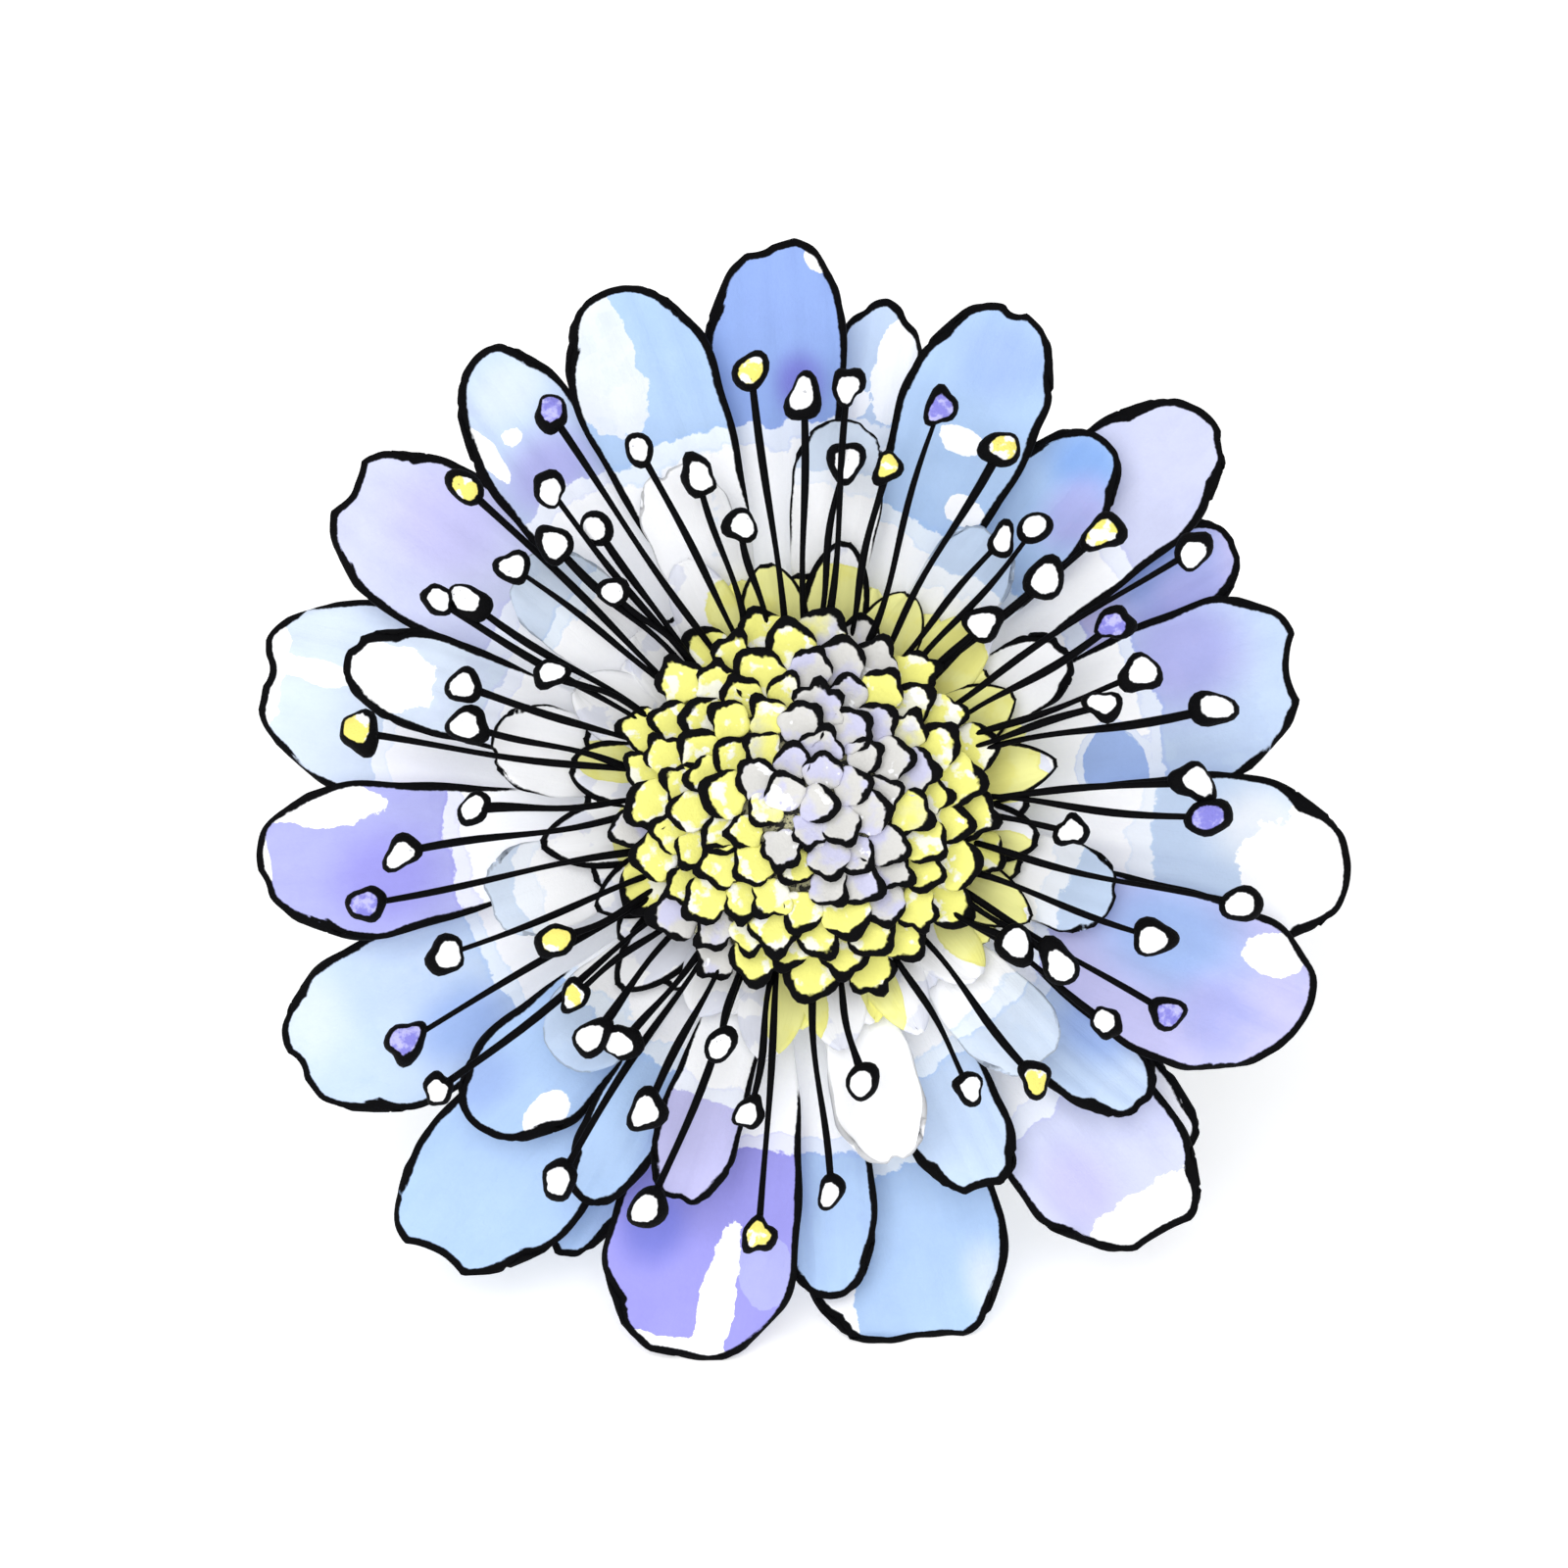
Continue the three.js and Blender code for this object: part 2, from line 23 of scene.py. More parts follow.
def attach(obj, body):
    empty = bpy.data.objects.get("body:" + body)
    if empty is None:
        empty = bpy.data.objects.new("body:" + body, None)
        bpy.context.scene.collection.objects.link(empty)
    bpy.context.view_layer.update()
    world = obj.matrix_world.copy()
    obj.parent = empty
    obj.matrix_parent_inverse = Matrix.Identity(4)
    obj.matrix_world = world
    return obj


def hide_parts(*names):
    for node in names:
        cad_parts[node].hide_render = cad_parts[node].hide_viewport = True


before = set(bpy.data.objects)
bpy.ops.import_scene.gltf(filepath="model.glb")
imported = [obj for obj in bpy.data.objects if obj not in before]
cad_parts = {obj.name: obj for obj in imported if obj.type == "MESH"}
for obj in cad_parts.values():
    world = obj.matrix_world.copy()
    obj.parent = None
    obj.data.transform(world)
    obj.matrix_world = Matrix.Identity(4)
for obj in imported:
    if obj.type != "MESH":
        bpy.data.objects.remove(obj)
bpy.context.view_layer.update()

Vert = bmesh.types.BMVert
Socket = bpy.types.NodeSocket
Material = bpy.types.Material
Pair = tuple[float, float]
Triple = tuple[float, float, float]

LOG = logging.getLogger("pincushion_flower")
BODY = "root"
MM = 0.001
INK = "#020204"
PAPER = "#fbfcff"
PAINT_GLOSS = 0.12
INK_GLOSS = 0.08
GREEN_GLOSS = 0.35


def lerp(start: float, end: float, share: float) -> float:
    """The value that lies at a share of the way from start to end."""
    return start + (end - start) * share


def smoothstep(value: float, low: float, high: float) -> float:
    """A soft step from 0 at low to 1 at high."""
    share = min(1.0, max(0.0, (value - low) / (high - low)))
    return share * share * (3.0 - 2.0 * share)


def polar(radius: float, angle: float, height: float = 0.0) -> Vector:
    """The point at a radius, an angle in radians and a height."""
    return Vector((radius * math.cos(angle), radius * math.sin(angle), height))


def linear_colour(code: str) -> tuple[float, float, float, float]:
    """Turns a colour written as #rrggbb into the linear values that shaders use.

    Args:
        code: The colour, six hexadecimal digits after a hash.

    Returns:
        Red, green, blue and an alpha of 1.
    """
    shares = [int(code[place : place + 2], 16) / 255.0 for place in (1, 3, 5)]
    channels = [x / 12.92 if x <= 0.04045 else ((x + 0.055) / 1.055) ** 2.4 for x in shares]
    return (*channels, 1.0)


class SeededDraw:
    """A repeatable row of numbers from 0 to 1, the row that the solids are drawn with."""

    STEP = 0x6D2B79F5
    WORD = 0xFFFFFFFF

    def __init__(self, seed: int) -> None:
        """Starts the row that belongs to a seed."""
        self.state = seed

    def __call__(self) -> float:
        """Takes the next number.

        Returns:
            A number from 0 up to 1.
        """
        self.state = (self.state + self.STEP) & self.WORD
        mixed = ((self.state ^ (self.state >> 15)) * (1 | self.state)) & self.WORD
        again = ((mixed ^ (mixed >> 7)) * (61 | mixed)) & self.WORD
        mixed = ((mixed + again) & self.WORD) ^ mixed
        return (mixed ^ (mixed >> 14)) / 2.0**32

    def between(self, low: float, high: float) -> float:
        """Takes the next number, spread from low to high."""
        return lerp(low, high, self())


class Signal:
    """A number that a node's socket carries, for shader maths written as plain sums."""

    def __init__(self, graph: "Graph", socket: Socket) -> None:
        """Keeps the socket and the graph that it belongs to."""
        self.graph = graph
        self.socket = socket

    def __add__(self, other: "Number") -> "Signal":
        """This plus other."""
        return self.graph.math("ADD", self, other)

    def __radd__(self, other: "Number") -> "Signal":
        """Other plus this."""
        return self.graph.math("ADD", other, self)

    def __sub__(self, other: "Number") -> "Signal":
        """This less other."""
        return self.graph.math("SUBTRACT", self, other)

    def __rsub__(self, other: "Number") -> "Signal":
        """Other less this."""
        return self.graph.math("SUBTRACT", other, self)

    def __mul__(self, other: "Number") -> "Signal":
        """This times other."""
        return self.graph.math("MULTIPLY", self, other)

    def __abs__(self) -> "Signal":
        """This without its sign."""
        return self.graph.math("ABSOLUTE", self)


Number = Signal | float


class Graph:
    """A material's node tree, with one method that adds any node."""

    COLOUR_A = 6
    COLOUR_B = 7
    COLOUR_RESULT = 2

    def __init__(self, name: str) -> None:
        """Starts an empty material."""
        self.material = bpy.data.materials.new(name)
        self.material.use_nodes = True
        self.tree = self.material.node_tree
        self.tree.nodes.clear()

    def node(
        self,
        kind: str,
        settings: Mapping[str, object] | None = None,
        values: Mapping[str | int, object] | None = None,
    ) -> bpy.types.Node:
        """Adds a node of any kind.

        Args:
            kind: The node's type, such as ShaderNodeMath.
            settings: Its own settings, which are set first.
            values: A number, a colour as #rrggbb or a link, for named or numbered inputs.

        Returns:
            The new node.
        """
        made = self.tree.nodes.new(kind)
        for key, value in (settings or {}).items():
            setattr(made, key, value)
        for key, value in (values or {}).items():
            value = value.socket if isinstance(value, Signal) else value
            if isinstance(value, Socket):
                self.tree.links.new(value, made.inputs[key])
            else:
                coded = isinstance(value, str)
                made.inputs[key].default_value = linear_colour(value) if coded else value
        return made

    def math(self, operation: str, *values: Number) -> Signal:
        """Adds a Math node for one operation on one or two values."""
        made = self.node("ShaderNodeMath", {"operation": operation}, dict(enumerate(values)))
        return Signal(self, made.outputs[0])

    def number(self, attribute: str) -> Signal:
        """Reads a number that the mesh carries at its points."""
        made = self.node("ShaderNodeAttribute", {"attribute_name": attribute})
        return Signal(self, made.outputs["Fac"])

    def place(self, attribute: str) -> Socket:
        """Reads a place that the mesh carries at its points."""
        made = self.node("ShaderNodeAttribute", {"attribute_name": attribute})
        return made.outputs["Vector"]

    def stretched(self, place: Socket, scale: Sequence[float]) -> Socket:
        """Multiplies a place by a scale along each axis."""
        made = self.node("ShaderNodeVectorMath", {"operation": "MULTIPLY"}, {0: place, 1: scale})
        return made.outputs[0]

    def height(self, place: Socket) -> Signal:
        """Takes the Z of a place."""
        return Signal(self, self.node("ShaderNodeSeparateXYZ", None, {0: place}).outputs[2])

    def noise(
        self, place: Socket, size: float, detail: float = 2.0, roughness: float = 0.5
    ) -> Signal:
        """Adds soft noise, about 0 on average, from about -1 to 1.

        Args:
            place: The coordinates, in millimetres.
            size: How wide a blotch is, in millimetres.
            detail: How many finer octaves it has.
            roughness: How strong those octaves are.

        Returns:
            The noise at each point.
        """
        values = {"Vector": place, "Scale": 1.0 / size, "Detail": detail, "Roughness": roughness}
        made = self.node("ShaderNodeTexNoise", {"noise_dimensions": "3D"}, values)
        return (Signal(self, made.outputs[0]) - 0.5) * 3.0

    def step(self, value: Signal, low: Number, high: Number) -> Signal:
        """Adds a soft step from 0 at low to 1 at high."""
        values = {"Value": value, "From Min": low, "From Max": high}
        made = self.node("ShaderNodeMapRange", {"interpolation_type": "SMOOTHSTEP"}, values)
        return Signal(self, made.outputs[0])

    def pooled(self, amount: Signal, edge: Sequence[float]) -> tuple[Signal, Signal]:
        """Finds where a wash of paint lies, and the rim where its pigment dried last.

        Args:
            amount: How much paint a place has.
            edge: The amounts at which the wash starts, is full and leaves its rim behind.

        Returns:
            The wash and its rim.
        """
        start, full, inner = edge
        wash = self.step(amount, start, full)
        return wash, wash * (1.0 - self.step(amount, full, inner))

    def mix(
        self, factor: Number, below: "Colour", above: "Colour", blend: str = "MIX"
    ) -> Socket:
        """Lays one colour over another.

        Args:
            factor: How much of the upper colour shows, from 0 to 1.
            below: The lower colour, written as #rrggbb or a link.
            above: The upper colour, written as #rrggbb or a link.
            blend: The way of mixing.

        Returns:
            The mixed colour.
        """
        settings = {"data_type": "RGBA", "blend_type": blend, "clamp_factor": True}
        values = {0: factor, self.COLOUR_A: below, self.COLOUR_B: above}
        return self.node("ShaderNodeMix", settings, values).outputs[self.COLOUR_RESULT]

    def grey(self, level: Signal) -> Socket:
        """Turns a number into a grey colour of that level."""
        values = {"Red": level, "Green": level, "Blue": level}
        return self.node("ShaderNodeCombineColor", None, values).outputs[0]

    def shaded(self, colour: "Colour", level: Signal) -> Socket:
        """Multiplies a colour by a number."""
        return self.mix(1.0, colour, self.grey(level), "MULTIPLY")

    def bump(self, height: Signal, distance: float, strength: float = 1.0) -> Socket:
        """Adds low relief, whose distance is the height in millimetres of a full step."""
        values = {"Height": height, "Distance": distance * MM, "Strength": strength}
        return self.node("ShaderNodeBump", None, values).outputs[0]

    def finish(
        self,
        colour: "Colour",
        roughness: Number,
        relief: Socket | None = None,
        specular: float = 0.5,
        glow: float = 0.0,
    ) -> Material:
        """Ends the material in a Principled shader.

        Args:
            colour: The base colour, written as #rrggbb or a link.
            roughness: The roughness, a number or a link.
            relief: The normal that carries the relief, if there is any.
            specular: How strongly it mirrors at right angles.
            glow: How strongly it shines in its own colour.

        Returns:
            The finished material.
        """
        values = {"Base Color": colour, "Roughness": roughness, "Specular IOR Level": specular}
        if relief is not None:
            values["Normal"] = relief
        if glow:
            values.update({"Emission Color": colour, "Emission Strength": glow})
        shader = self.node("ShaderNodeBsdfPrincipled", None, values)
        self.node("ShaderNodeOutputMaterial", None, {"Surface": shader.outputs[0]})
        return self.material


Colour = str | Socket


@dataclass(frozen=True)
class HeadPlace:
    """Where the head sits over the table, in millimetres, and how far its face is tipped up."""

    centre: Triple = (0.118, -17.568, 32.9)
    face_tilt: float = 35.0

    def matrix(self) -> Matrix:
        """The turn and the place of the head's own axes."""
        turn = Matrix.Rotation(math.radians(90.0 - self.face_tilt), 4, "X")
        return Matrix.Translation(self.centre) @ turn


HEAD = HeadPlace()


class Workpiece:
    """A mesh in the making, in millimetres, that ends as one named piece of the flower."""

    def __init__(
        self,
        name: str,
        slot: str,
        nodes: Sequence[str],
        numbers: Sequence[str] = (),
        places: Sequence[str] = ("blade", "face"),
    ) -> None:
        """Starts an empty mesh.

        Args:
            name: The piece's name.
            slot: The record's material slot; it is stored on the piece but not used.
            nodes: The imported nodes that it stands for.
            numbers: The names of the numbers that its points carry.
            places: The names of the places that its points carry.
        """
        self.name = name
        self.slot = slot
        self.nodes = nodes
        self.bm = bmesh.new()
        self.number = {key: self.bm.verts.layers.float.new(key) for key in numbers}
        self.place = {key: self.bm.verts.layers.float_vector.new(key) for key in places}

    def mark(
        self, vert: Vert, numbers: Mapping[str, float], places: Mapping[str, Sequence[float]]
    ) -> None:
        """Sets the numbers and the places that a point carries.

        Args:
            vert: The point.
            numbers: The value of each number.
            places: The value of each place.
        """
        for key, value in numbers.items():
            vert[self.number[key]] = value
        for key, place in places.items():
            vert[self.place[key]] = place

    def grid(self, columns: int, rows: int) -> list[Vert]:
        """Adds a flat grid that runs from -1 to 1 along X and Y, and lists its points."""
        made = bmesh.ops.create_grid(self.bm, x_segments=columns, y_segments=rows, size=1.0)
        return made["verts"]

    def sweep(self, stations: Sequence[Matrix], sides: int) -> list[list[Vert]]:
        """Sweeps a ring through a row of stations and closes both ends.

        Args:
            stations: The place, turn and radius of each ring.
            sides: How many sides the ring has.

        Returns:
            The points of each ring.
        """
        made = bmesh.ops.create_circle(
            self.bm, cap_ends=True, segments=sides, radius=1.0, matrix=stations[0]
        )
        rings = [made["verts"]]
        inside = set(made["verts"])
        edges = list({e for v in rings[0] for e in v.link_edges if e.other_vert(v) in inside})
        for before, after in zip(stations, stations[1:]):
            grown = bmesh.ops.extrude_edge_only(self.bm, edges=edges)["geom"]
            ring = [g for g in grown if isinstance(g, Vert)]
            fresh = set(ring)
            edges = [
                g for g in grown
                if isinstance(g, bmesh.types.BMEdge) and all(v in fresh for v in g.verts)
            ]
            bmesh.ops.transform(self.bm, matrix=after @ before.inverted(), verts=ring)
            rings.append(ring)
        bmesh.ops.contextual_create(self.bm, geom=edges)
        return rings

    def finish(
        self,
        material: Material,
        base: Matrix,
        thickness: float = 0.0,
        turn_out: bool = False,
        lowest: float | None = None,
    ) -> None:
        """Makes the mesh an object that rides on the flower's body.

        Args:
            material: The piece's finish.
            base: The matrix from the mesh's own axes to the table's, in millimetres.
            thickness: The wall that a Solidify modifier adds, half to each side.
            turn_out: Whether a closed mesh has its faces turned outwards.
            lowest: The height over the table that no point goes below, if there is one.
        """
        bm = self.bm
        if "face" in self.place:
            for vert in bm.verts:
                vert[self.place["face"]] = vert.co
        if turn_out:
            bmesh.ops.recalc_face_normals(bm, faces=bm.faces)
        bmesh.ops.transform(bm, matrix=base, verts=bm.verts)
        if lowest is not None:
            for vert in bm.verts:
                vert.co.z = max(lowest, vert.co.z)
        bmesh.ops.scale(bm, vec=(MM, MM, MM), verts=bm.verts)
        for shown in bm.faces:
            shown.smooth = True
        mesh = bpy.data.meshes.new(self.name)
        bm.to_mesh(mesh)
        bm.free()
        mesh.materials.append(material)
        piece = bpy.data.objects.new(self.name, mesh)
        bpy.context.scene.collection.objects.link(piece)
        if thickness:
            wall = piece.modifiers.new("wall", "SOLIDIFY")
            wall.thickness = thickness * MM
            wall.offset = 0.0
        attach(piece, BODY)
        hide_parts(*self.nodes)
        LOG.info("%s stands for %s", self.name, ", ".join(self.nodes))


def inked(
    graph: Graph, colour: Colour, blade: Socket, width: float, waver: Pair = (3.4, 0.26)
) -> tuple[Socket, Signal]:
    """Draws the pen line along a margin, of uneven width and with a slightly rough edge.

    Args:
        graph: The material that it is drawn in.
        colour: The paint below the line.
        blade: The coordinates on the piece, in millimetres.
        width: The line's usual width, in millimetres.
        waver: How long its thick and thin stretches are, in millimetres, and how strong.

    Returns:
        The colour with its line, and how much of each point is line.
    """
    nib = graph.number("nib")
    swell = graph.noise(blade, waver[0], 2.0) * waver[1] + 1.0
    rough = graph.noise(blade, 0.32, 3.0, 0.6) * 0.05
    reach = nib * swell * width
    line = 1.0 - graph.step(graph.number("margin") + rough - reach, -0.05, 0.05)
    line = line * graph.step(nib, 0.12, 0.3)
    return graph.mix(line, colour, INK), line


class Pigment(Enum):
    """The watercolours, as they look once they have dried on white paper."""

    PAPER = PAPER
    MIST = "#edf3fc"
    ICE = "#dce9fb"
    PALE_SKY = "#cbdef9"
    SKY = "#b7d3f9"
    BLUE = "#a8c2f5"
    AZURE = "#8fb5f2"
    COBALT = "#98b4f1"
    INDIGO = "#7f84dc"
    PEARL = "#d6dbf8"
    LILAC = "#cac9f6"
    LAVENDER = "#b7baf2"
    VIOLET = "#a3a1ef"

    def linear(self) -> Vector:
        """The linear red, green and blue of the colour."""
        return Vector(linear_colour(self.value)[:3])


@dataclass(frozen=True)
class Spot:
    """An oval on the head, at an angle and a radius."""

    angle: float
    radius: float
    wide: float
    long: float

    def at(self, place: Vector) -> float:
        """How much of the oval is at a place on the head, which is a half at its edge."""
        turn = math.radians(self.angle)
        along = place.x * math.cos(turn) + place.y * math.sin(turn) - self.radius
        across = place.y * math.cos(turn) - place.x * math.sin(turn)
        return 1.0 - smoothstep(math.hypot(across / self.wide, along / self.long), 0.4, 1.6)


@dataclass(frozen=True)
class Patch(Spot):
    """A patch of paint on a petal, dry or wet at its edge, or of bare paper."""

    pigment: Pigment
    soft: bool = False


def bare(*oval: float) -> Patch:
    """A patch that the brush left white."""
    return Patch(*oval, Pigment.PAPER)


def dab(pigment: Pigment, *oval: float) -> Patch:
    """A patch of paint with a dried edge."""
    return Patch(*oval, pigment)


def wet(pigment: Pigment, *oval: float) -> Patch:
    """A patch of wet paint that runs softly into the paint round it."""
    return Patch(*oval, pigment, soft=True)


class Wash(Enum):
    """The five washes of colour on the petals. Each value is the record's slot."""

    SKY = "petal_sky"
    PERIWINKLE = "petal_periwinkle"
    LAVENDER = "petal_lavender"
    PURPLE = "petal_purple"
    WHITE = "petal_white"


@dataclass(frozen=True)
class PetalFinish:
    """Watercolour on a petal: a pale first wash and the petal's own paint over it.

    Each noise is the width of its blotches in millimetres, its octaves and their strength.
    """

    pale: str
    pool: str
    line_width: float = 0.52
    roughness: float = 0.66
    tear: float = 0.2
    drift: Pair = (7.0, 2.0)
    fray: Triple = (2.6, 6.0, 0.62)
    nibble: Triple = (1.7, 6.0, 0.62)
    pooling: Triple = (5.0, 5.0, 0.55)
    cloud: Triple = (3.5, 5.0, 0.6)
    grain: Triple = (0.22, 2.0, 0.7)
    veins: Triple = (0.55, 3.0, 0.6)
    vein_scale: Triple = (1.0, 0.07, 1.0)
    first_edge: Triple = (0.28, 0.31, 0.34)
    main_edge: Triple = (0.5, 0.525, 0.58)
    patch_edge: Pair = (0.5, 0.53)
    pool_edge: Pair = (0.1, 0.16)
    cloud_edge: Pair = (-0.7, 0.9)
    first_strength: float = 0.85
    rim_strength: float = 0.28

    def material(self, name: str) -> Material:
        """Builds the finish.

        Args:
            name: The material's name.

        Returns:
            The material.
        """
        graph = Graph(name)
        blade, face = graph.place("blade"), graph.place("face")
        tear = graph.noise(face, *self.drift) * self.tear
        tear = tear + graph.noise(blade, *self.fray) * self.tear
        wash = graph.number("wash") + tear * 0.8
        first, first_rim = graph.pooled(wash, self.first_edge)
        main, main_rim = graph.pooled(wash, self.main_edge)
        torn = tear * 0.7 + graph.noise(face, *self.nibble) * self.tear
        dabbed = graph.step(graph.number("dab") + torn, *self.patch_edge)
        left = graph.step(graph.number("bare") + torn * 1.4, *self.patch_edge)
        pools = graph.step(graph.noise(face, *self.pooling), *self.pool_edge)
        cloud = graph.step(graph.noise(face, *self.cloud), *self.cloud_edge)
        paint = graph.mix(dabbed, graph.place("paint"), graph.place("dab_paint"))
        paint = graph.mix(cloud * 0.1 + pools * 0.07, paint, self.pool)
        colour = graph.mix(first * self.first_strength, PAPER, self.pale)
        colour = graph.mix(main, colour, graph.shaded(paint, cloud * -0.04 + 0.91))
        colour = graph.mix((main_rim + first_rim * 0.5) * self.rim_strength, colour, self.pool)
        colour = graph.mix(left, colour, PAPER)
        grain = graph.noise(blade, *self.grain)
        veins = graph.noise(graph.stretched(blade, self.vein_scale), *self.veins)
        colour = graph.shaded(colour, 1.0 + grain * 0.016 + veins * 0.012)
        colour, line = inked(graph, colour, blade, self.line_width)
        relief = graph.bump(veins * 0.7 + grain * 0.3, 0.05, 0.6)
        roughness = self.roughness + line * 0.2 + grain * 0.03
        return graph.finish(colour, roughness, relief, PAINT_GLOSS)


PETAL_FINISHES = {
    Wash.SKY: PetalFinish("#e4effc", "#9fc3f5"),
    Wash.PERIWINKLE: PetalFinish("#e0e9fb", "#93a9ec"),
    Wash.LAVENDER: PetalFinish("#e9eefb", "#bcbdf0"),
    Wash.PURPLE: PetalFinish("#e2e4fa", "#928de6"),
    Wash.WHITE: PetalFinish("#edf3fc", "#c5daf7"),
}


@dataclass(frozen=True)
class Petal:
    """One petal: its shape, and the paint that starts at a distance from the head's axis.

    The notch is how far the middle of the tip is cut back, and the lean tips it to one side.
    """

    angle: float
    reach: float
    width: float
    notch: float
    lean: float
    wash: Wash
    paint: Pigment
    start: float
    patches: tuple[Patch, ...] = ()
    tip_bend: float = 0.0
    ink: float = 1.0


@dataclass(frozen=True)
class PetalLayer:
    """One layer of petals, at a height and a slope in degrees."""

    name: str
    height: float
    slope: float
    petals: tuple[Petal, ...]
    inked_from: float = 18.0


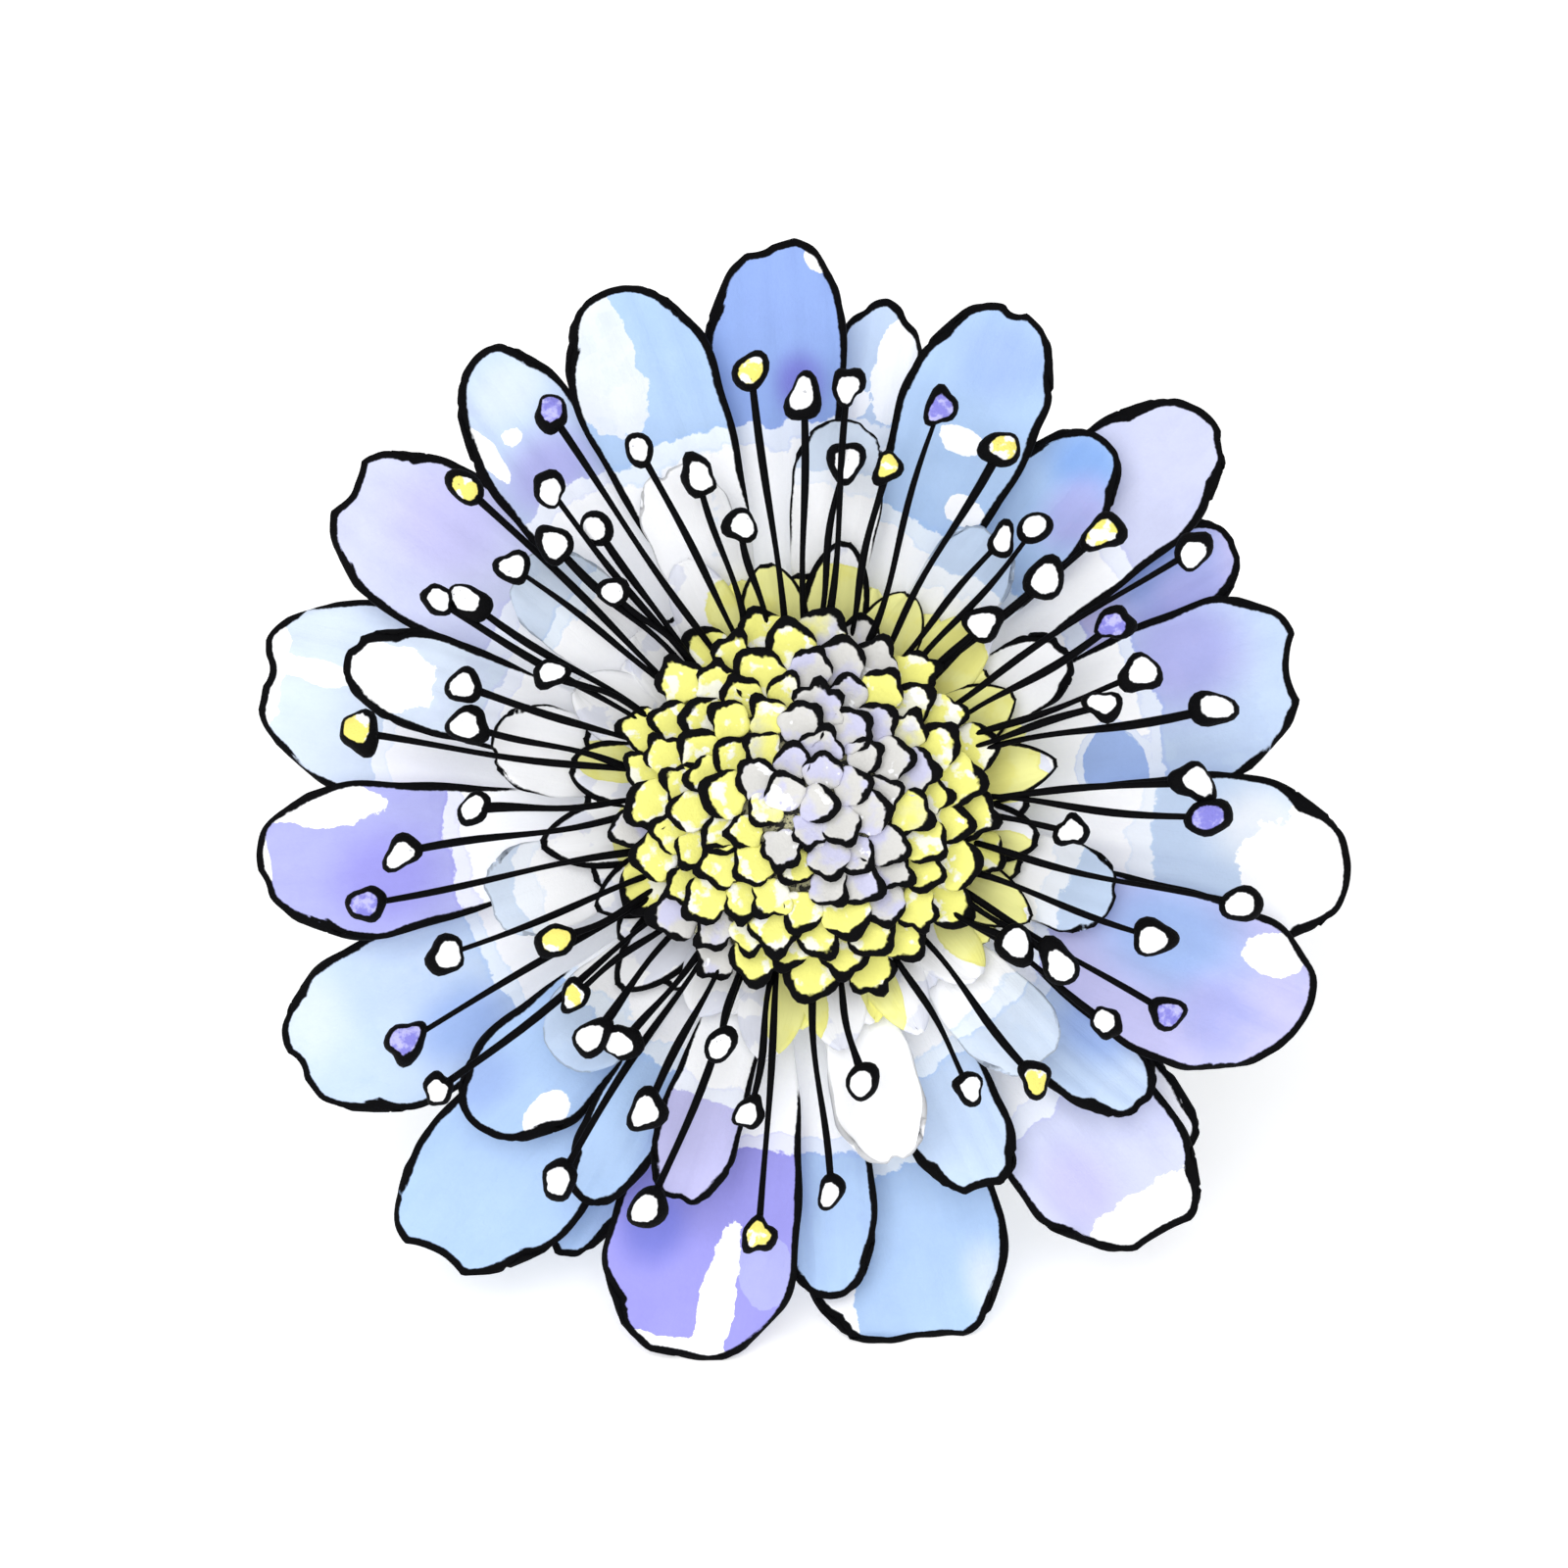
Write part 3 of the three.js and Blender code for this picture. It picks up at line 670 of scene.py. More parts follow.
_, MIST, ICE, PALE_SKY, SKY, BLUE, AZURE, COBALT, INDIGO, PEARL, LILAC, LAVENDER, VIOLET = Pigment
UNPAINTED = 60.0
PETAL_LAYERS = (
    PetalLayer("petal_back", -3.2, -6.0, (
        Petal(31.0, 34.8, 8.2, 0.0, 0.0, Wash.PERIWINKLE, LILAC, 22.0, (
            wet(COBALT, 33.5, 29.5, 3.2, 3.5), wet(LAVENDER, 27.0, 30.0, 3.0, 3.0),
        )),
        Petal(166.8, 38.8, 13.4, 0.6, 0.7, Wash.WHITE, ICE, 29.5, (
            bare(168.0, 38.6, 6.0, 1.9), bare(165.0, 34.5, 0.9, 3.0),
        )),
        Petal(208.0, 39.8, 12.4, 0.3, 0.5, Wash.SKY, PALE_SKY, 24.5, (
            wet(ICE, 203.0, 37.8, 3.5, 3.0), wet(BLUE, 213.0, 28.0, 2.5, 3.5),
        )),
        Petal(241.3, 35.5, 6.6, 0.0, 0.0, Wash.SKY, SKY, 24.0),
        Petal(283.0, 38.8, 14.5, 1.0, 0.0, Wash.SKY, SKY, 26.0, (
            bare(273.2, 35.5, 1.7, 6.5), wet(ICE, 291.5, 36.0, 1.6, 3.0),
        ), tip_bend=2.2),
        Petal(318.6, 35.9, 5.6, 0.0, 0.0, Wash.WHITE, MIST, UNPAINTED),
    )),
    PetalLayer("petal_rear", -2.1, -2.0, (
        Petal(15.2, 35.5, 12.6, 1.0, -1.0, Wash.PERIWINKLE, PALE_SKY, 25.0, (
            wet(LAVENDER, 21.5, 28.0, 3.8, 4.2), dab(BLUE, 6.0, 21.5, 3.0, 2.2),
            bare(14.5, 35.6, 1.6, 0.9),
        )),
        Petal(43.6, 38.5, 10.0, 0.0, 0.5, Wash.LAVENDER, PEARL, 28.0),
        Petal(81.0, 34.4, 7.4, -0.6, 0.0, Wash.WHITE, PALE_SKY, 26.0, (
            bare(77.6, 30.0, 1.8, 4.0), bare(83.0, 27.5, 1.2, 1.2),
        )),
        Petal(145.0, 38.6, 11.5, 0.9, 0.3, Wash.LAVENDER, PEARL, 24.5, (
            bare(146.0, 38.9, 4.0, 0.9), wet(LILAC, 142.0, 31.0, 3.5, 4.0),
        )),
        Petal(187.7, 37.6, 10.9, 0.0, 0.6, Wash.PURPLE, LAVENDER, 24.5, (
            bare(180.2, 34.0, 1.5, 5.5), bare(187.0, 37.7, 5.0, 1.0),
            wet(VIOLET, 190.0, 29.0, 3.0, 3.6),
        )),
        Petal(230.8, 40.8, 12.2, 1.0, 0.8, Wash.SKY, SKY, 24.0),
        Petal(273.3, 34.1, 7.0, 0.0, 0.0, Wash.PERIWINKLE, SKY, 24.0),
        Petal(310.2, 39.1, 12.0, 0.6, -0.9, Wash.LAVENDER, PEARL, 27.0, (
            bare(308.5, 37.2, 5.5, 2.3), wet(LILAC, 305.5, 32.5, 2.4, 3.0),
        )),
    )),
    PetalLayer("petal_mid", -1.0, 2.0, (
        Petal(353.0, 37.6, 11.4, 0.0, 0.3, Wash.WHITE, PALE_SKY, 24.0, (
            bare(351.5, 35.0, 5.2, 5.0), wet(MIST, 357.0, 31.0, 2.5, 3.0),
        )),
        Petal(51.0, 32.2, 7.8, 0.0, 0.3, Wash.SKY, SKY, 20.0, (
            wet(AZURE, 50.0, 30.0, 2.6, 2.2), wet(LAVENDER, 46.5, 27.0, 2.0, 2.6),
        )),
        Petal(93.7, 38.4, 9.8, 0.4, 1.0, Wash.PERIWINKLE, COBALT, 26.0, (
            wet(INDIGO, 90.5, 28.5, 1.6, 2.0), bare(88.2, 37.4, 1.1, 1.4),
        )),
        Petal(127.3, 37.7, 8.8, 0.0, 1.0, Wash.LAVENDER, PALE_SKY, 26.5, (
            wet(LAVENDER, 127.5, 28.3, 3.4, 2.6), bare(132.4, 32.0, 0.8, 2.4),
            bare(128.6, 31.8, 0.8, 0.7), wet(ICE, 125.5, 34.5, 2.6, 2.0),
        )),
        Petal(257.3, 39.3, 13.2, 0.4, 0.2, Wash.PURPLE, VIOLET, 24.0, (
            bare(260.2, 35.0, 1.3, 5.5), bare(257.0, 39.0, 7.0, 1.5),
            wet(INDIGO, 250.5, 30.5, 2.2, 2.6),
            dab(LAVENDER, 265.2, 32.0, 1.9, 2.6),
        ), tip_bend=-2.2),
        Petal(318.2, 31.1, 7.0, 0.0, 0.0, Wash.SKY, PALE_SKY, 21.0, (
            wet(BLUE, 322.0, 25.0, 2.0, 2.5),
        )),
        Petal(295.2, 29.4, 7.4, 0.5, -0.6, Wash.SKY, PALE_SKY, 20.5),
        Petal(225.5, 31.4, 8.6, 0.0, 0.6, Wash.SKY, SKY, 20.0, (
            wet(BLUE, 221.0, 29.0, 1.8, 2.5), bare(230.5, 27.5, 1.2, 2.0),
        )),
    )),
    PetalLayer("petal_front", 0.1, 6.0, (
        Petal(335.4, 36.9, 12.2, 0.0, -1.2, Wash.PERIWINKLE, LILAC, 19.5, (
            wet(BLUE, 340.0, 26.5, 3.4, 5.0), bare(342.0, 33.4, 1.5, 2.2),
            wet(LAVENDER, 333.0, 31.5, 2.5, 2.5),
        )),
        Petal(66.8, 36.5, 9.9, 0.0, 0.0, Wash.SKY, SKY, 20.5, (
            wet(BLUE, 66.0, 33.0, 3.0, 2.6), bare(66.5, 26.8, 1.6, 0.9),
            bare(61.0, 22.5, 1.4, 1.0),
        )),
        Petal(110.9, 37.2, 10.2, 0.0, -0.3, Wash.SKY, SKY, 26.0, (
            dab(MIST, 115.6, 33.5, 3.1, 6.0), bare(107.0, 37.0, 1.2, 0.9),
        )),
        Petal(162.4, 32.6, 6.8, 0.0, 0.0, Wash.LAVENDER, ICE, 22.0, (
            bare(163.0, 29.5, 2.4, 3.4),
        )),
        Petal(241.6, 30.9, 5.6, 0.0, 0.0, Wash.SKY, SKY, 20.0),
    )),
    PetalLayer("petal_inner", 1.2, 10.0, (
        Petal(29.5, 20.6, 5.2, 0.0, 0.0, Wash.WHITE, MIST, UNPAINTED, ink=0.85),
        Petal(54.0, 22.4, 5.8, 0.3, 0.0, Wash.WHITE, PALE_SKY, 18.5, ink=0.2),
        Petal(84.0, 26.0, 6.4, 0.0, 0.0, Wash.WHITE, ICE, 22.5, ink=0.35),
        Petal(112.0, 24.5, 6.2, 0.3, 0.0, Wash.WHITE, MIST, UNPAINTED, ink=0.2),
        Petal(140.0, 25.0, 6.4, 0.0, 0.0, Wash.SKY, ICE, 21.0, ink=0.2),
        Petal(169.0, 21.5, 6.0, 0.0, 0.0, Wash.WHITE, MIST, UNPAINTED, ink=0.35),
        Petal(198.0, 22.5, 6.4, 0.4, 0.0, Wash.WHITE, ICE, 20.0, ink=0.2),
        Petal(226.0, 24.0, 6.4, 0.0, 0.0, Wash.SKY, PALE_SKY, 20.0, ink=0.2),
        Petal(251.8, 28.4, 5.8, 0.3, 0.0, Wash.LAVENDER, LILAC, 21.0, ink=0.75),
        Petal(284.0, 25.0, 6.2, 0.0, 0.0, Wash.WHITE, MIST, UNPAINTED, ink=0.2),
        Petal(312.0, 24.0, 6.4, 0.3, 0.0, Wash.SKY, ICE, 19.5, ink=0.2),
        Petal(342.0, 22.0, 6.2, 0.0, 0.0, Wash.WHITE, PALE_SKY, 19.0, ink=0.35),
    ), inked_from=14.0),
)


@dataclass(frozen=True)
class PetalMoods:
    """What sets one petal apart from the next: the draws that the solids share, and finer ones."""

    cup: float
    wave: float
    phase: float
    skew: float
    nick_at: float
    nick_depth: float
    ripple: tuple[float, ...]
    curl: float


@dataclass(frozen=True)
class Corolla:
    """All the petals, thin blades that narrow to a claw at the receptacle."""

    root: float = 8.3
    claw_half_width: float = 1.25
    claw_swell: float = 1.5
    widest_at: float = 0.84
    tip_shoulder: float = 0.6
    tip_rounding: float = 0.068
    tip_pinch: float = 0.07
    tip_curl: float = 0.012
    rise: float = 0.06
    droop: float = 0.003
    notch_half_width: float = 0.45
    cup: float = 0.55
    wave: float = 0.4
    skew: float = 0.3
    room_at_root: float = 0.05
    room_per_mm: float = 0.03
    waves_along: float = 7.0
    waves_across: float = 2.6
    edge_waves: tuple[Pair, ...] = ((0.02, 11.0), (0.012, 27.0))
    crinkles: Pair = (0.009, 24.0)
    folds: Pair = (0.0026, 15.0)
    bend_from: float = 0.72
    thickness: float = 0.4
    columns: int = 32
    rows: int = 48
    tip_gather: float = 1.35
    nick_half_width: float = 0.2
    nick_span: float = 0.7
    nick_depth: Pair = (-0.3, 0.45)
    corner: float = 0.05
    rim_from: float = 0.999
    noise_step: float = 40.0
    wash_levels: Pair = (0.14, 0.9)
    wash_run: Pair = (3.0, 3.2)
    pen_run: float = 6.0
    seed: int = 17
    fine_seed: int = 171
    layers: tuple[PetalLayer, ...] = PETAL_LAYERS

    def moods(self, draw: SeededDraw, fine: SeededDraw) -> PetalMoods:
        """Draws what sets one petal apart.

        Args:
            draw: The row of numbers that the solids share.
            fine: The row of numbers for the finer forms.

        Returns:
            The petal's moods.
        """
        shared = (
            draw.between(-self.cup, self.cup),
            self.wave * draw.between(0.5, 1.0),
            draw() * math.tau,
            draw.between(-self.skew, self.skew),
        )
        nick_at = fine.between(-self.nick_span, self.nick_span)
        nick_depth = max(0.0, fine.between(*self.nick_depth))
        ripple = tuple(fine() * math.tau for _ in range(4))
        return PetalMoods(*shared, nick_at, nick_depth, ripple, fine.between(-1.0, 1.0))

    def half_width(self, along: float, widest: float) -> float:
        """How far the blade spreads to each side.

        Args:
            along: The place along the petal, 0 at the root and 1 at the tip.
            widest: Half the petal's greatest width.

        Returns:
            The half width at that place.
        """
        if along < self.widest_at:
            swell = math.sin(along / self.widest_at * math.pi / 2.0) ** self.claw_swell
            return lerp(self.claw_half_width, widest, swell)
        beyond = self.tip_shoulder * (along - self.widest_at) / (1.0 - self.widest_at)
        return widest * math.sqrt(1.0 - beyond * beyond)

    def middle(
        self, layer: PetalLayer, petal: Petal, mood: PetalMoods, across: float, along: float
    ) -> Vector:
        """The middle of the blade, with the petal pointing along +Y.

        Args:
            layer: The petal's layer.
            petal: The petal.
            mood: What sets it apart.
            across: The place across, from -1 to 1.
            along: The place along, from 0 to 1.

        Returns:
            The point, in millimetres.
        """
        length = petal.reach - self.root
        side = abs(across)
        rounding = self.tip_rounding * length * side * side * along * along
        rounding += self.corner * length * side**6 * along**6
        dent = petal.notch * max(0.0, 1.0 - (across / self.notch_half_width) ** 2) * along**8
        off_nick = (across - mood.nick_at) / self.nick_half_width
        nick = mood.nick_depth * max(0.0, 1.0 - off_nick * off_nick) * along**12
        tip = petal.lean * across * along * along
        radius = self.root + length * along + tip - rounding - dent - nick
        run = radius - self.root
        first, second, third, fourth = mood.ripple
        right = across > 0.0
        phases = (first, third) if right else (second, fourth)
        uneven = sum(
            depth * math.sin(along * waves + phase)
            for (depth, waves), phase in zip(self.edge_waves, phases)
        )
        spread = self.half_width(along, petal.width / 2.0) * (1.0 + uneven * side * side)
        spread *= 1.0 - self.tip_pinch * side**4 * along**10
        sideways = across * spread + mood.skew * along * along
        room = self.room_at_root + self.room_per_mm * run
        ruffle = math.sin(mood.phase + along * self.waves_along + across * self.waves_across)
        lift = room * (mood.cup * (2.0 * side * side - 1.0) + mood.wave * ruffle)
        depth, waves = self.crinkles
        lift += run * depth * side**4 * math.sin(along * waves + (third if right else first))
        depth, waves = self.folds
        lift += run * depth * math.cos(across * waves + second)
        lift += run * self.tip_curl * mood.curl * smoothstep(along, 0.8, 1.0)
        bend = petal.tip_bend * smoothstep(along, self.bend_from, 1.0)
        shared = self.rise * run - self.droop * run * run
        slope = math.tan(math.radians(layer.slope))
        return Vector((sideways, radius, layer.height + slope * run + shared + lift + bend))

    def painted(
        self, layer: PetalLayer, petal: Petal, place: Vector
    ) -> tuple[dict[str, float], dict[str, Vector]]:
        """Works out how a place on a petal is painted.

        Args:
            layer: The petal's layer.
            petal: The petal.
            place: The place on the head.

        Returns:
            How much wash, dab and bare paper there is and how strong the pen is, then the
            colours of the wash and of the dab.
        """
        radius = place.xy.length
        before, after = self.wash_run
        share = smoothstep(radius, petal.start - before, petal.start + after)
        pen = smoothstep(radius, layer.inked_from, layer.inked_from + self.pen_run)
        numbers = {
            "wash": lerp(*self.wash_levels, share),
            "nib": petal.ink * pen,
            "dab": 0.0,
            "bare": 0.0,
        }
        colour = dab_colour = petal.paint.linear()
        for patch in petal.patches:
            amount = patch.at(place)
            if patch.pigment is Pigment.PAPER:
                numbers["bare"] = max(numbers["bare"], amount)
            elif patch.soft:
                colour = colour.lerp(patch.pigment.linear(), amount)
            elif amount > numbers["dab"]:
                numbers["dab"] = amount
                numbers["wash"] = max(numbers["wash"], amount)
                dab_colour = patch.pigment.linear()
        return numbers, {"paint": colour, "dab_paint": dab_colour}

    def blade(
        self, layer: PetalLayer, number: int, petal: Petal, mood: PetalMoods, material: Material
    ) -> None:
        """Builds one petal.

        Args:
            layer: The petal's layer.
            number: The petal's number in its layer.
            petal: The petal.
            mood: What sets it apart.
            material: Its finish.
        """
        node = f"{layer.name}_{number}"
        amounts = ("margin", "nib", "wash", "dab", "bare")
        places = ("blade", "face", "paint", "dab_paint")
        piece = Workpiece(f"{node}_blade", petal.wash.value, [node], amounts, places)
        turn = Matrix.Rotation(math.radians(petal.angle - 90.0), 4, "Z")
        verts = piece.grid(self.columns, self.rows)
        rim = []
        for vert in verts:
            across = vert.co.x
            along = 1.0 - (1.0 - (vert.co.y + 1.0) / 2.0) ** self.tip_gather
            point = self.middle(layer, petal, mood, across, along)
            vert.co = turn @ point
            numbers, colours = self.painted(layer, petal, vert.co)
            own = (point.x, point.y, petal.angle + layer.height * self.noise_step)
            piece.mark(vert, numbers, {"blade": own, **colours})
            if max(along, abs(across)) > self.rim_from:
                rim.append(vert.co.copy())
        tree = KDTree(len(rim))
        for place, point in enumerate(rim):
            tree.insert(point, place)
        tree.balance()
        for vert in verts:
            vert[piece.number["margin"]] = tree.find(vert.co)[2]
        piece.finish(material, HEAD.matrix(), self.thickness, lowest=self.thickness / 2.0)

    def build(self) -> None:
        """Builds every petal, layer by layer from the back of the head to its face."""
        materials = {
            wash: finish.material(f"{wash.value}_wash") for wash, finish in PETAL_FINISHES.items()
        }
        draw, fine = SeededDraw(self.seed), SeededDraw(self.fine_seed)
        for layer in self.layers:
            for number, petal in enumerate(layer.petals, 1):
                mood = self.moods(draw, fine)
                self.blade(layer, number, petal, mood, materials[petal.wash])


@dataclass(frozen=True)
class FloretFinish:
    """Yellow wash on the rim of the cushion, running into grey and lilac at its middle."""

    yellow: str = "#ecea82"
    cream: str = "#f4f4e2"
    grey: str = "#cfcecb"
    lilac: str = "#c4c4de"
    line_width: float = 0.42
    waver: Pair = (0.9, 0.5)
    tone_edge: Pair = (0.45, 0.6)
    cool_edge: Pair = (-0.15, 0.3)
    warm_edge: Pair = (0.08, 0.3)
    white_edge: Pair = (0.4, 0.5)
    white_strength: float = 0.8

    def material(self) -> Material:
        """Builds the finish.

        Returns:
            The material.
        """
        graph = Graph("floret_wash")
        blade, face = graph.place("blade"), graph.place("face")
        tone = graph.number("tone") + graph.noise(face, 2.6, 3.0) * 0.14
        cool = graph.step(graph.noise(face, 2.2, 3.0), *self.cool_edge)
        cool = graph.mix(cool, self.grey, self.lilac)
        warm = graph.step(graph.noise(face, 1.5, 4.0), *self.warm_edge)
        warm = graph.mix(warm, self.yellow, self.cream)
        colour = graph.mix(graph.step(tone, *self.tone_edge), cool, warm)
        white = graph.step(graph.noise(blade, 1.6, 3.0), *self.white_edge)
        colour = graph.mix(white * self.white_strength, colour, PAPER)
        colour = graph.shaded(colour, 1.0 + graph.noise(blade, 0.2, 2.0) * 0.03)
        colour, line = inked(graph, colour, blade, self.line_width, self.waver)
        relief = graph.bump(graph.noise(blade, 0.25, 3.0), 0.04, 0.5)
        return graph.finish(colour, 0.62 + line * 0.2, relief, PAINT_GLOSS)


@dataclass(frozen=True)
class Receptacle:
    """The domed cushion with its short neck, which everything grows on."""

    wall_radius: float = 8.0
    wall_bottom: float = -3.95
    wall_top: float = 2.95
    dome_radius: float = 11.5
    dome_edge: float = 3.9
    dome_top: float = 9.3
    dome_rings: int = 12
    steps: int = 72

    def dome_height(self, radius: float) -> float:
        """The height of the dome's surface at a distance from the axis."""
        rise = math.sqrt(max(0.0, 1.0 - (radius / self.dome_radius) ** 2))
        return lerp(self.dome_edge, self.dome_top, rise)

    def profile(self) -> list[Vector]:
        """Lists the turned outline, from the middle of the underside to the top.

        Returns:
            Points of radius and height, in the XZ plane.
        """
        outline = [
            (0.0, self.wall_bottom),
            (self.wall_radius, self.wall_bottom),
            (self.wall_radius, self.wall_top),
            (self.dome_radius, self.dome_edge),
        ]
        for ring in range(1, self.dome_rings + 1):
            angle = ring / self.dome_rings * math.pi / 2.0
            radius = self.dome_radius * math.cos(angle)
            outline.append((radius, lerp(self.dome_edge, self.dome_top, math.sin(angle))))
        return [Vector((radius, 0.0, height)) for radius, height in outline]

    def material(self) -> Material:
        """Builds the finish: chaff between the florets, and a green neck below.

        Returns:
            The material.
        """
        graph = Graph("receptacle_chaff")
        face = graph.place("face")
        chaff = graph.noise(face, 0.5, 3.0, 0.6)
        colour = graph.mix(graph.step(chaff, -0.2, 0.1), "#3f3f3c", "#dddab2")
        neck = graph.mix(graph.step(chaff, -0.4, 0.8), "#7f9f68", "#a9c48d")
        colour = graph.mix(graph.step(graph.height(face) + chaff * 0.2, 2.9, 3.3), neck, colour)
        return graph.finish(colour, 0.8, graph.bump(chaff, 0.15), specular=0.2)

    def build(self) -> None:
        """Turns the outline about the head's axis."""
        piece = Workpiece("receptacle", "florets", ["floret_head"], places=("face",))
        turned(piece.bm, self.profile(), self.steps)
        piece.finish(self.material(), HEAD.matrix(), turn_out=True)


def turned(bm: bmesh.types.BMesh, profile: Sequence[Vector], steps: int) -> None:
    """Turns an outline about the Z axis into one closed body.

    Args:
        bm: The mesh that it is added to.
        profile: The outline in the XZ plane, with both ends on the axis.
        steps: How many steps the full turn has.
    """
    points = [bm.verts.new(point) for point in profile]
    edges = [bm.edges.new(pair) for pair in zip(points, points[1:])]
    bmesh.ops.spin(
        bm,
        geom=points + edges,
        cent=(0.0, 0.0, 0.0),
        axis=(0.0, 0.0, 1.0),
        angle=math.tau,
        steps=steps,
        use_merge=True,
    )
    bmesh.ops.remove_doubles(bm, verts=bm.verts, dist=1e-4)


@dataclass(frozen=True)
class Zone:
    """An oval area on the head, in millimetres from its axis."""

    x: float
    y: float
    wide: float
    tall: float

    def at(self, place: Vector) -> float:
        """How much of the area is at a place, which is a half at its edge."""
        off = math.hypot((place.x - self.x) / self.wide, (place.y - self.y) / self.tall)
        return 1.0 - smoothstep(off, 0.6, 1.4)


@dataclass(frozen=True)
class DiscFlorets:
    """Small lobed scales that overlap outwards over the dome, in the spiral of its seeds."""

    count: int = 104
    rim: float = 11.4
    spread: float = 0.14
    growth: Pair = (0.98, 1.2)
    seed: int = 29
    fine_seed: int = 291
    sides: int = 24
    upturn: float = 0.3
    outer_lobe: float = 0.2
    lean: float = 0.5
    scatter: float = 0.4
    twist: float = 0.65
    size_spread: Pair = (0.9, 1.12)
    tone_spread: float = 0.22
    lobe_depth: Pair = (0.05, 0.34)
    swing: float = 0.7
    long: Pair = (0.6, 1.6)
    broad: Pair = (0.92, 1.12)
    noise_room: float = 90.0
    opening: Pair = (1.15, 1.9)
    lip: int = 3
    rings: tuple[Pair, ...] = (
        (0.5, -0.6),
        (0.6, 0.3),
        (1.3, 0.95),
        (1.52, 1.3),
        (1.42, 1.42),
        (1.0, 1.3),
        (0.4, 1.12),
    )
    cool: tuple[Zone, ...] = (
        Zone(1.8, 2.0, 4.8, 6.2),
        Zone(3.4, -3.2, 3.6, 3.6),
        Zone(2.2, 8.5, 2.6, 2.6),
        Zone(-7.5, -9.5, 3.4, 3.0),
        Zone(-12.0, -1.0, 2.0, 4.0),
    )
    golden_angle: float = math.pi * (3.0 - math.sqrt(5.0))

    def scale(self, piece: Workpiece, place: Matrix, tone: float, fine: SeededDraw) -> None:
        """Adds one floret, whose free end points along its own +X.

        Args:
            piece: The mesh that it is added to.
            place: Where it stands on the head.
            tone: How yellow it is.
            fine: The row of numbers for its shape.
        """
        stations = [
            Matrix.Translation((0.0, 0.0, height)) @ Matrix.Diagonal((radius, radius, 1.0, 1.0))
            for radius, height in self.rings
        ]
        lobes = 2.0 + round(fine.between(-0.5, 2.0)) / 2.0
        depth, swing = fine.between(*self.lobe_depth), fine.between(-self.swing, self.swing)
        long, broad = fine.between(*self.long), fine.between(*self.broad)
        mark, opening = fine() * self.noise_room, fine.between(*self.opening)
        widest = self.rings[self.lip][0]
        for level, ring in enumerate(piece.sweep(stations, self.sides)):
            share = self.rings[level][0] / widest
            for vert in ring:
                turn = math.atan2(vert.co.y, vert.co.x)
                dent = 1.0 - abs(math.cos(lobes * turn + swing))
                lobe = 1.0 - depth * share**2 * dent
                reach = 1.0 + self.outer_lobe * long * share**2 * math.cos(turn)
                height = vert.co.z + (self.upturn * vert.co.x if level > 1 else 0.0)
                vert.co = Vector((vert.co.x * lobe * reach, vert.co.y * lobe * broad, height))
                numbers = {
                    "margin": (1.0 - share) * widest if level > self.lip else 0.0,
                    "nib": 1.0 - smoothstep(abs(turn), opening - 0.5, opening + 0.3),
                    "tone": tone,
                }
                piece.mark(vert, numbers, {"blade": vert.co + Vector((0.0, 0.0, mark))})
            bmesh.ops.transform(piece.bm, matrix=place, verts=ring)

    def build(self, receptacle: Receptacle, draw: SeededDraw) -> None:
        """Sets every floret on the dome.

        Args:
            receptacle: What the florets stand on.
            draw: The row of numbers that the solids share.
        """
        piece = Workpiece("disc_florets", "florets", ["floret_head"], ("margin", "nib", "tone"))
        fine = SeededDraw(self.fine_seed)
        up = Vector((0.0, 0.0, 1.0))
        for i in range(self.count):
            radius = self.rim * math.sqrt((i + 0.5) / self.count)
            angle = i * self.golden_angle
            foot = polar(radius, angle, receptacle.dome_height(radius))
            lift = receptacle.dome_top - receptacle.dome_edge
            outward = Vector((foot.x, foot.y, 0.0)) / receptacle.dome_radius**2
            outward.z = (foot.z - receptacle.dome_edge) / lift**2
            normal = up.lerp(outward.normalized(), self.lean).normalized()
            draw()  # The solids spin the floret by this one.
            size = lerp(1.0 - self.spread, 1.0, draw()) * lerp(*self.growth, radius / self.rim)
            size *= fine.between(*self.size_spread)
            turn = up.rotation_difference(normal)
            turn = turn @ Quaternion(up, angle + fine.between(-self.twist, self.twist))
            foot += polar(fine.between(0.0, self.scatter), fine() * math.tau)
            place = Matrix.LocRotScale(foot, turn, Vector((size, size, size)))
            tone = 1.0 - max(zone.at(foot) for zone in self.cool)
            tone += fine.between(-self.tone_spread, self.tone_spread)
            self.scale(piece, place, tone, fine)
        piece.finish(FloretFinish().material(), HEAD.matrix(), turn_out=True)


STAMENS = (
    (3, 26), (13, 28), (18, 21), (21, 24), (30, 24), (33, 31), (42, 27), (43, 22),
    (45, 17), (50, 24), (53, 22), (61, 27), (71, 28), (76, 23), (83, 23), (84, 28),
    (90, 27), (97, 29), (103, 19), (108, 23), (115, 26), (123, 31), (127, 23), (129, 27),
    (132, 19), (134, 24), (137, 31), (141, 25), (149, 26), (151, 28), (153, 19), (161, 24),
    (167, 23), (171, 30), (181, 22), (187, 27), (193, 30), (203, 26), (209, 19), (211, 31),
    (218, 31), (220, 20), (228, 21), (233, 20), (237, 30), (243, 23), (249, 29), (251, 17),
    (260, 21), (264, 29), (274, 26), (282, 19), (300, 22), (310, 24), (324, 25), (326, 17),
    (328, 20), (330, 28), (339, 25), (347, 30), (354, 18), (358, 27),
)
YELLOW_HEADS = frozenset((42, 61, 76, 97, 137, 171, 209, 220, 264, 310))
LILAC_HEADS = frozenset((30, 71, 123, 193, 211, 330, 358))


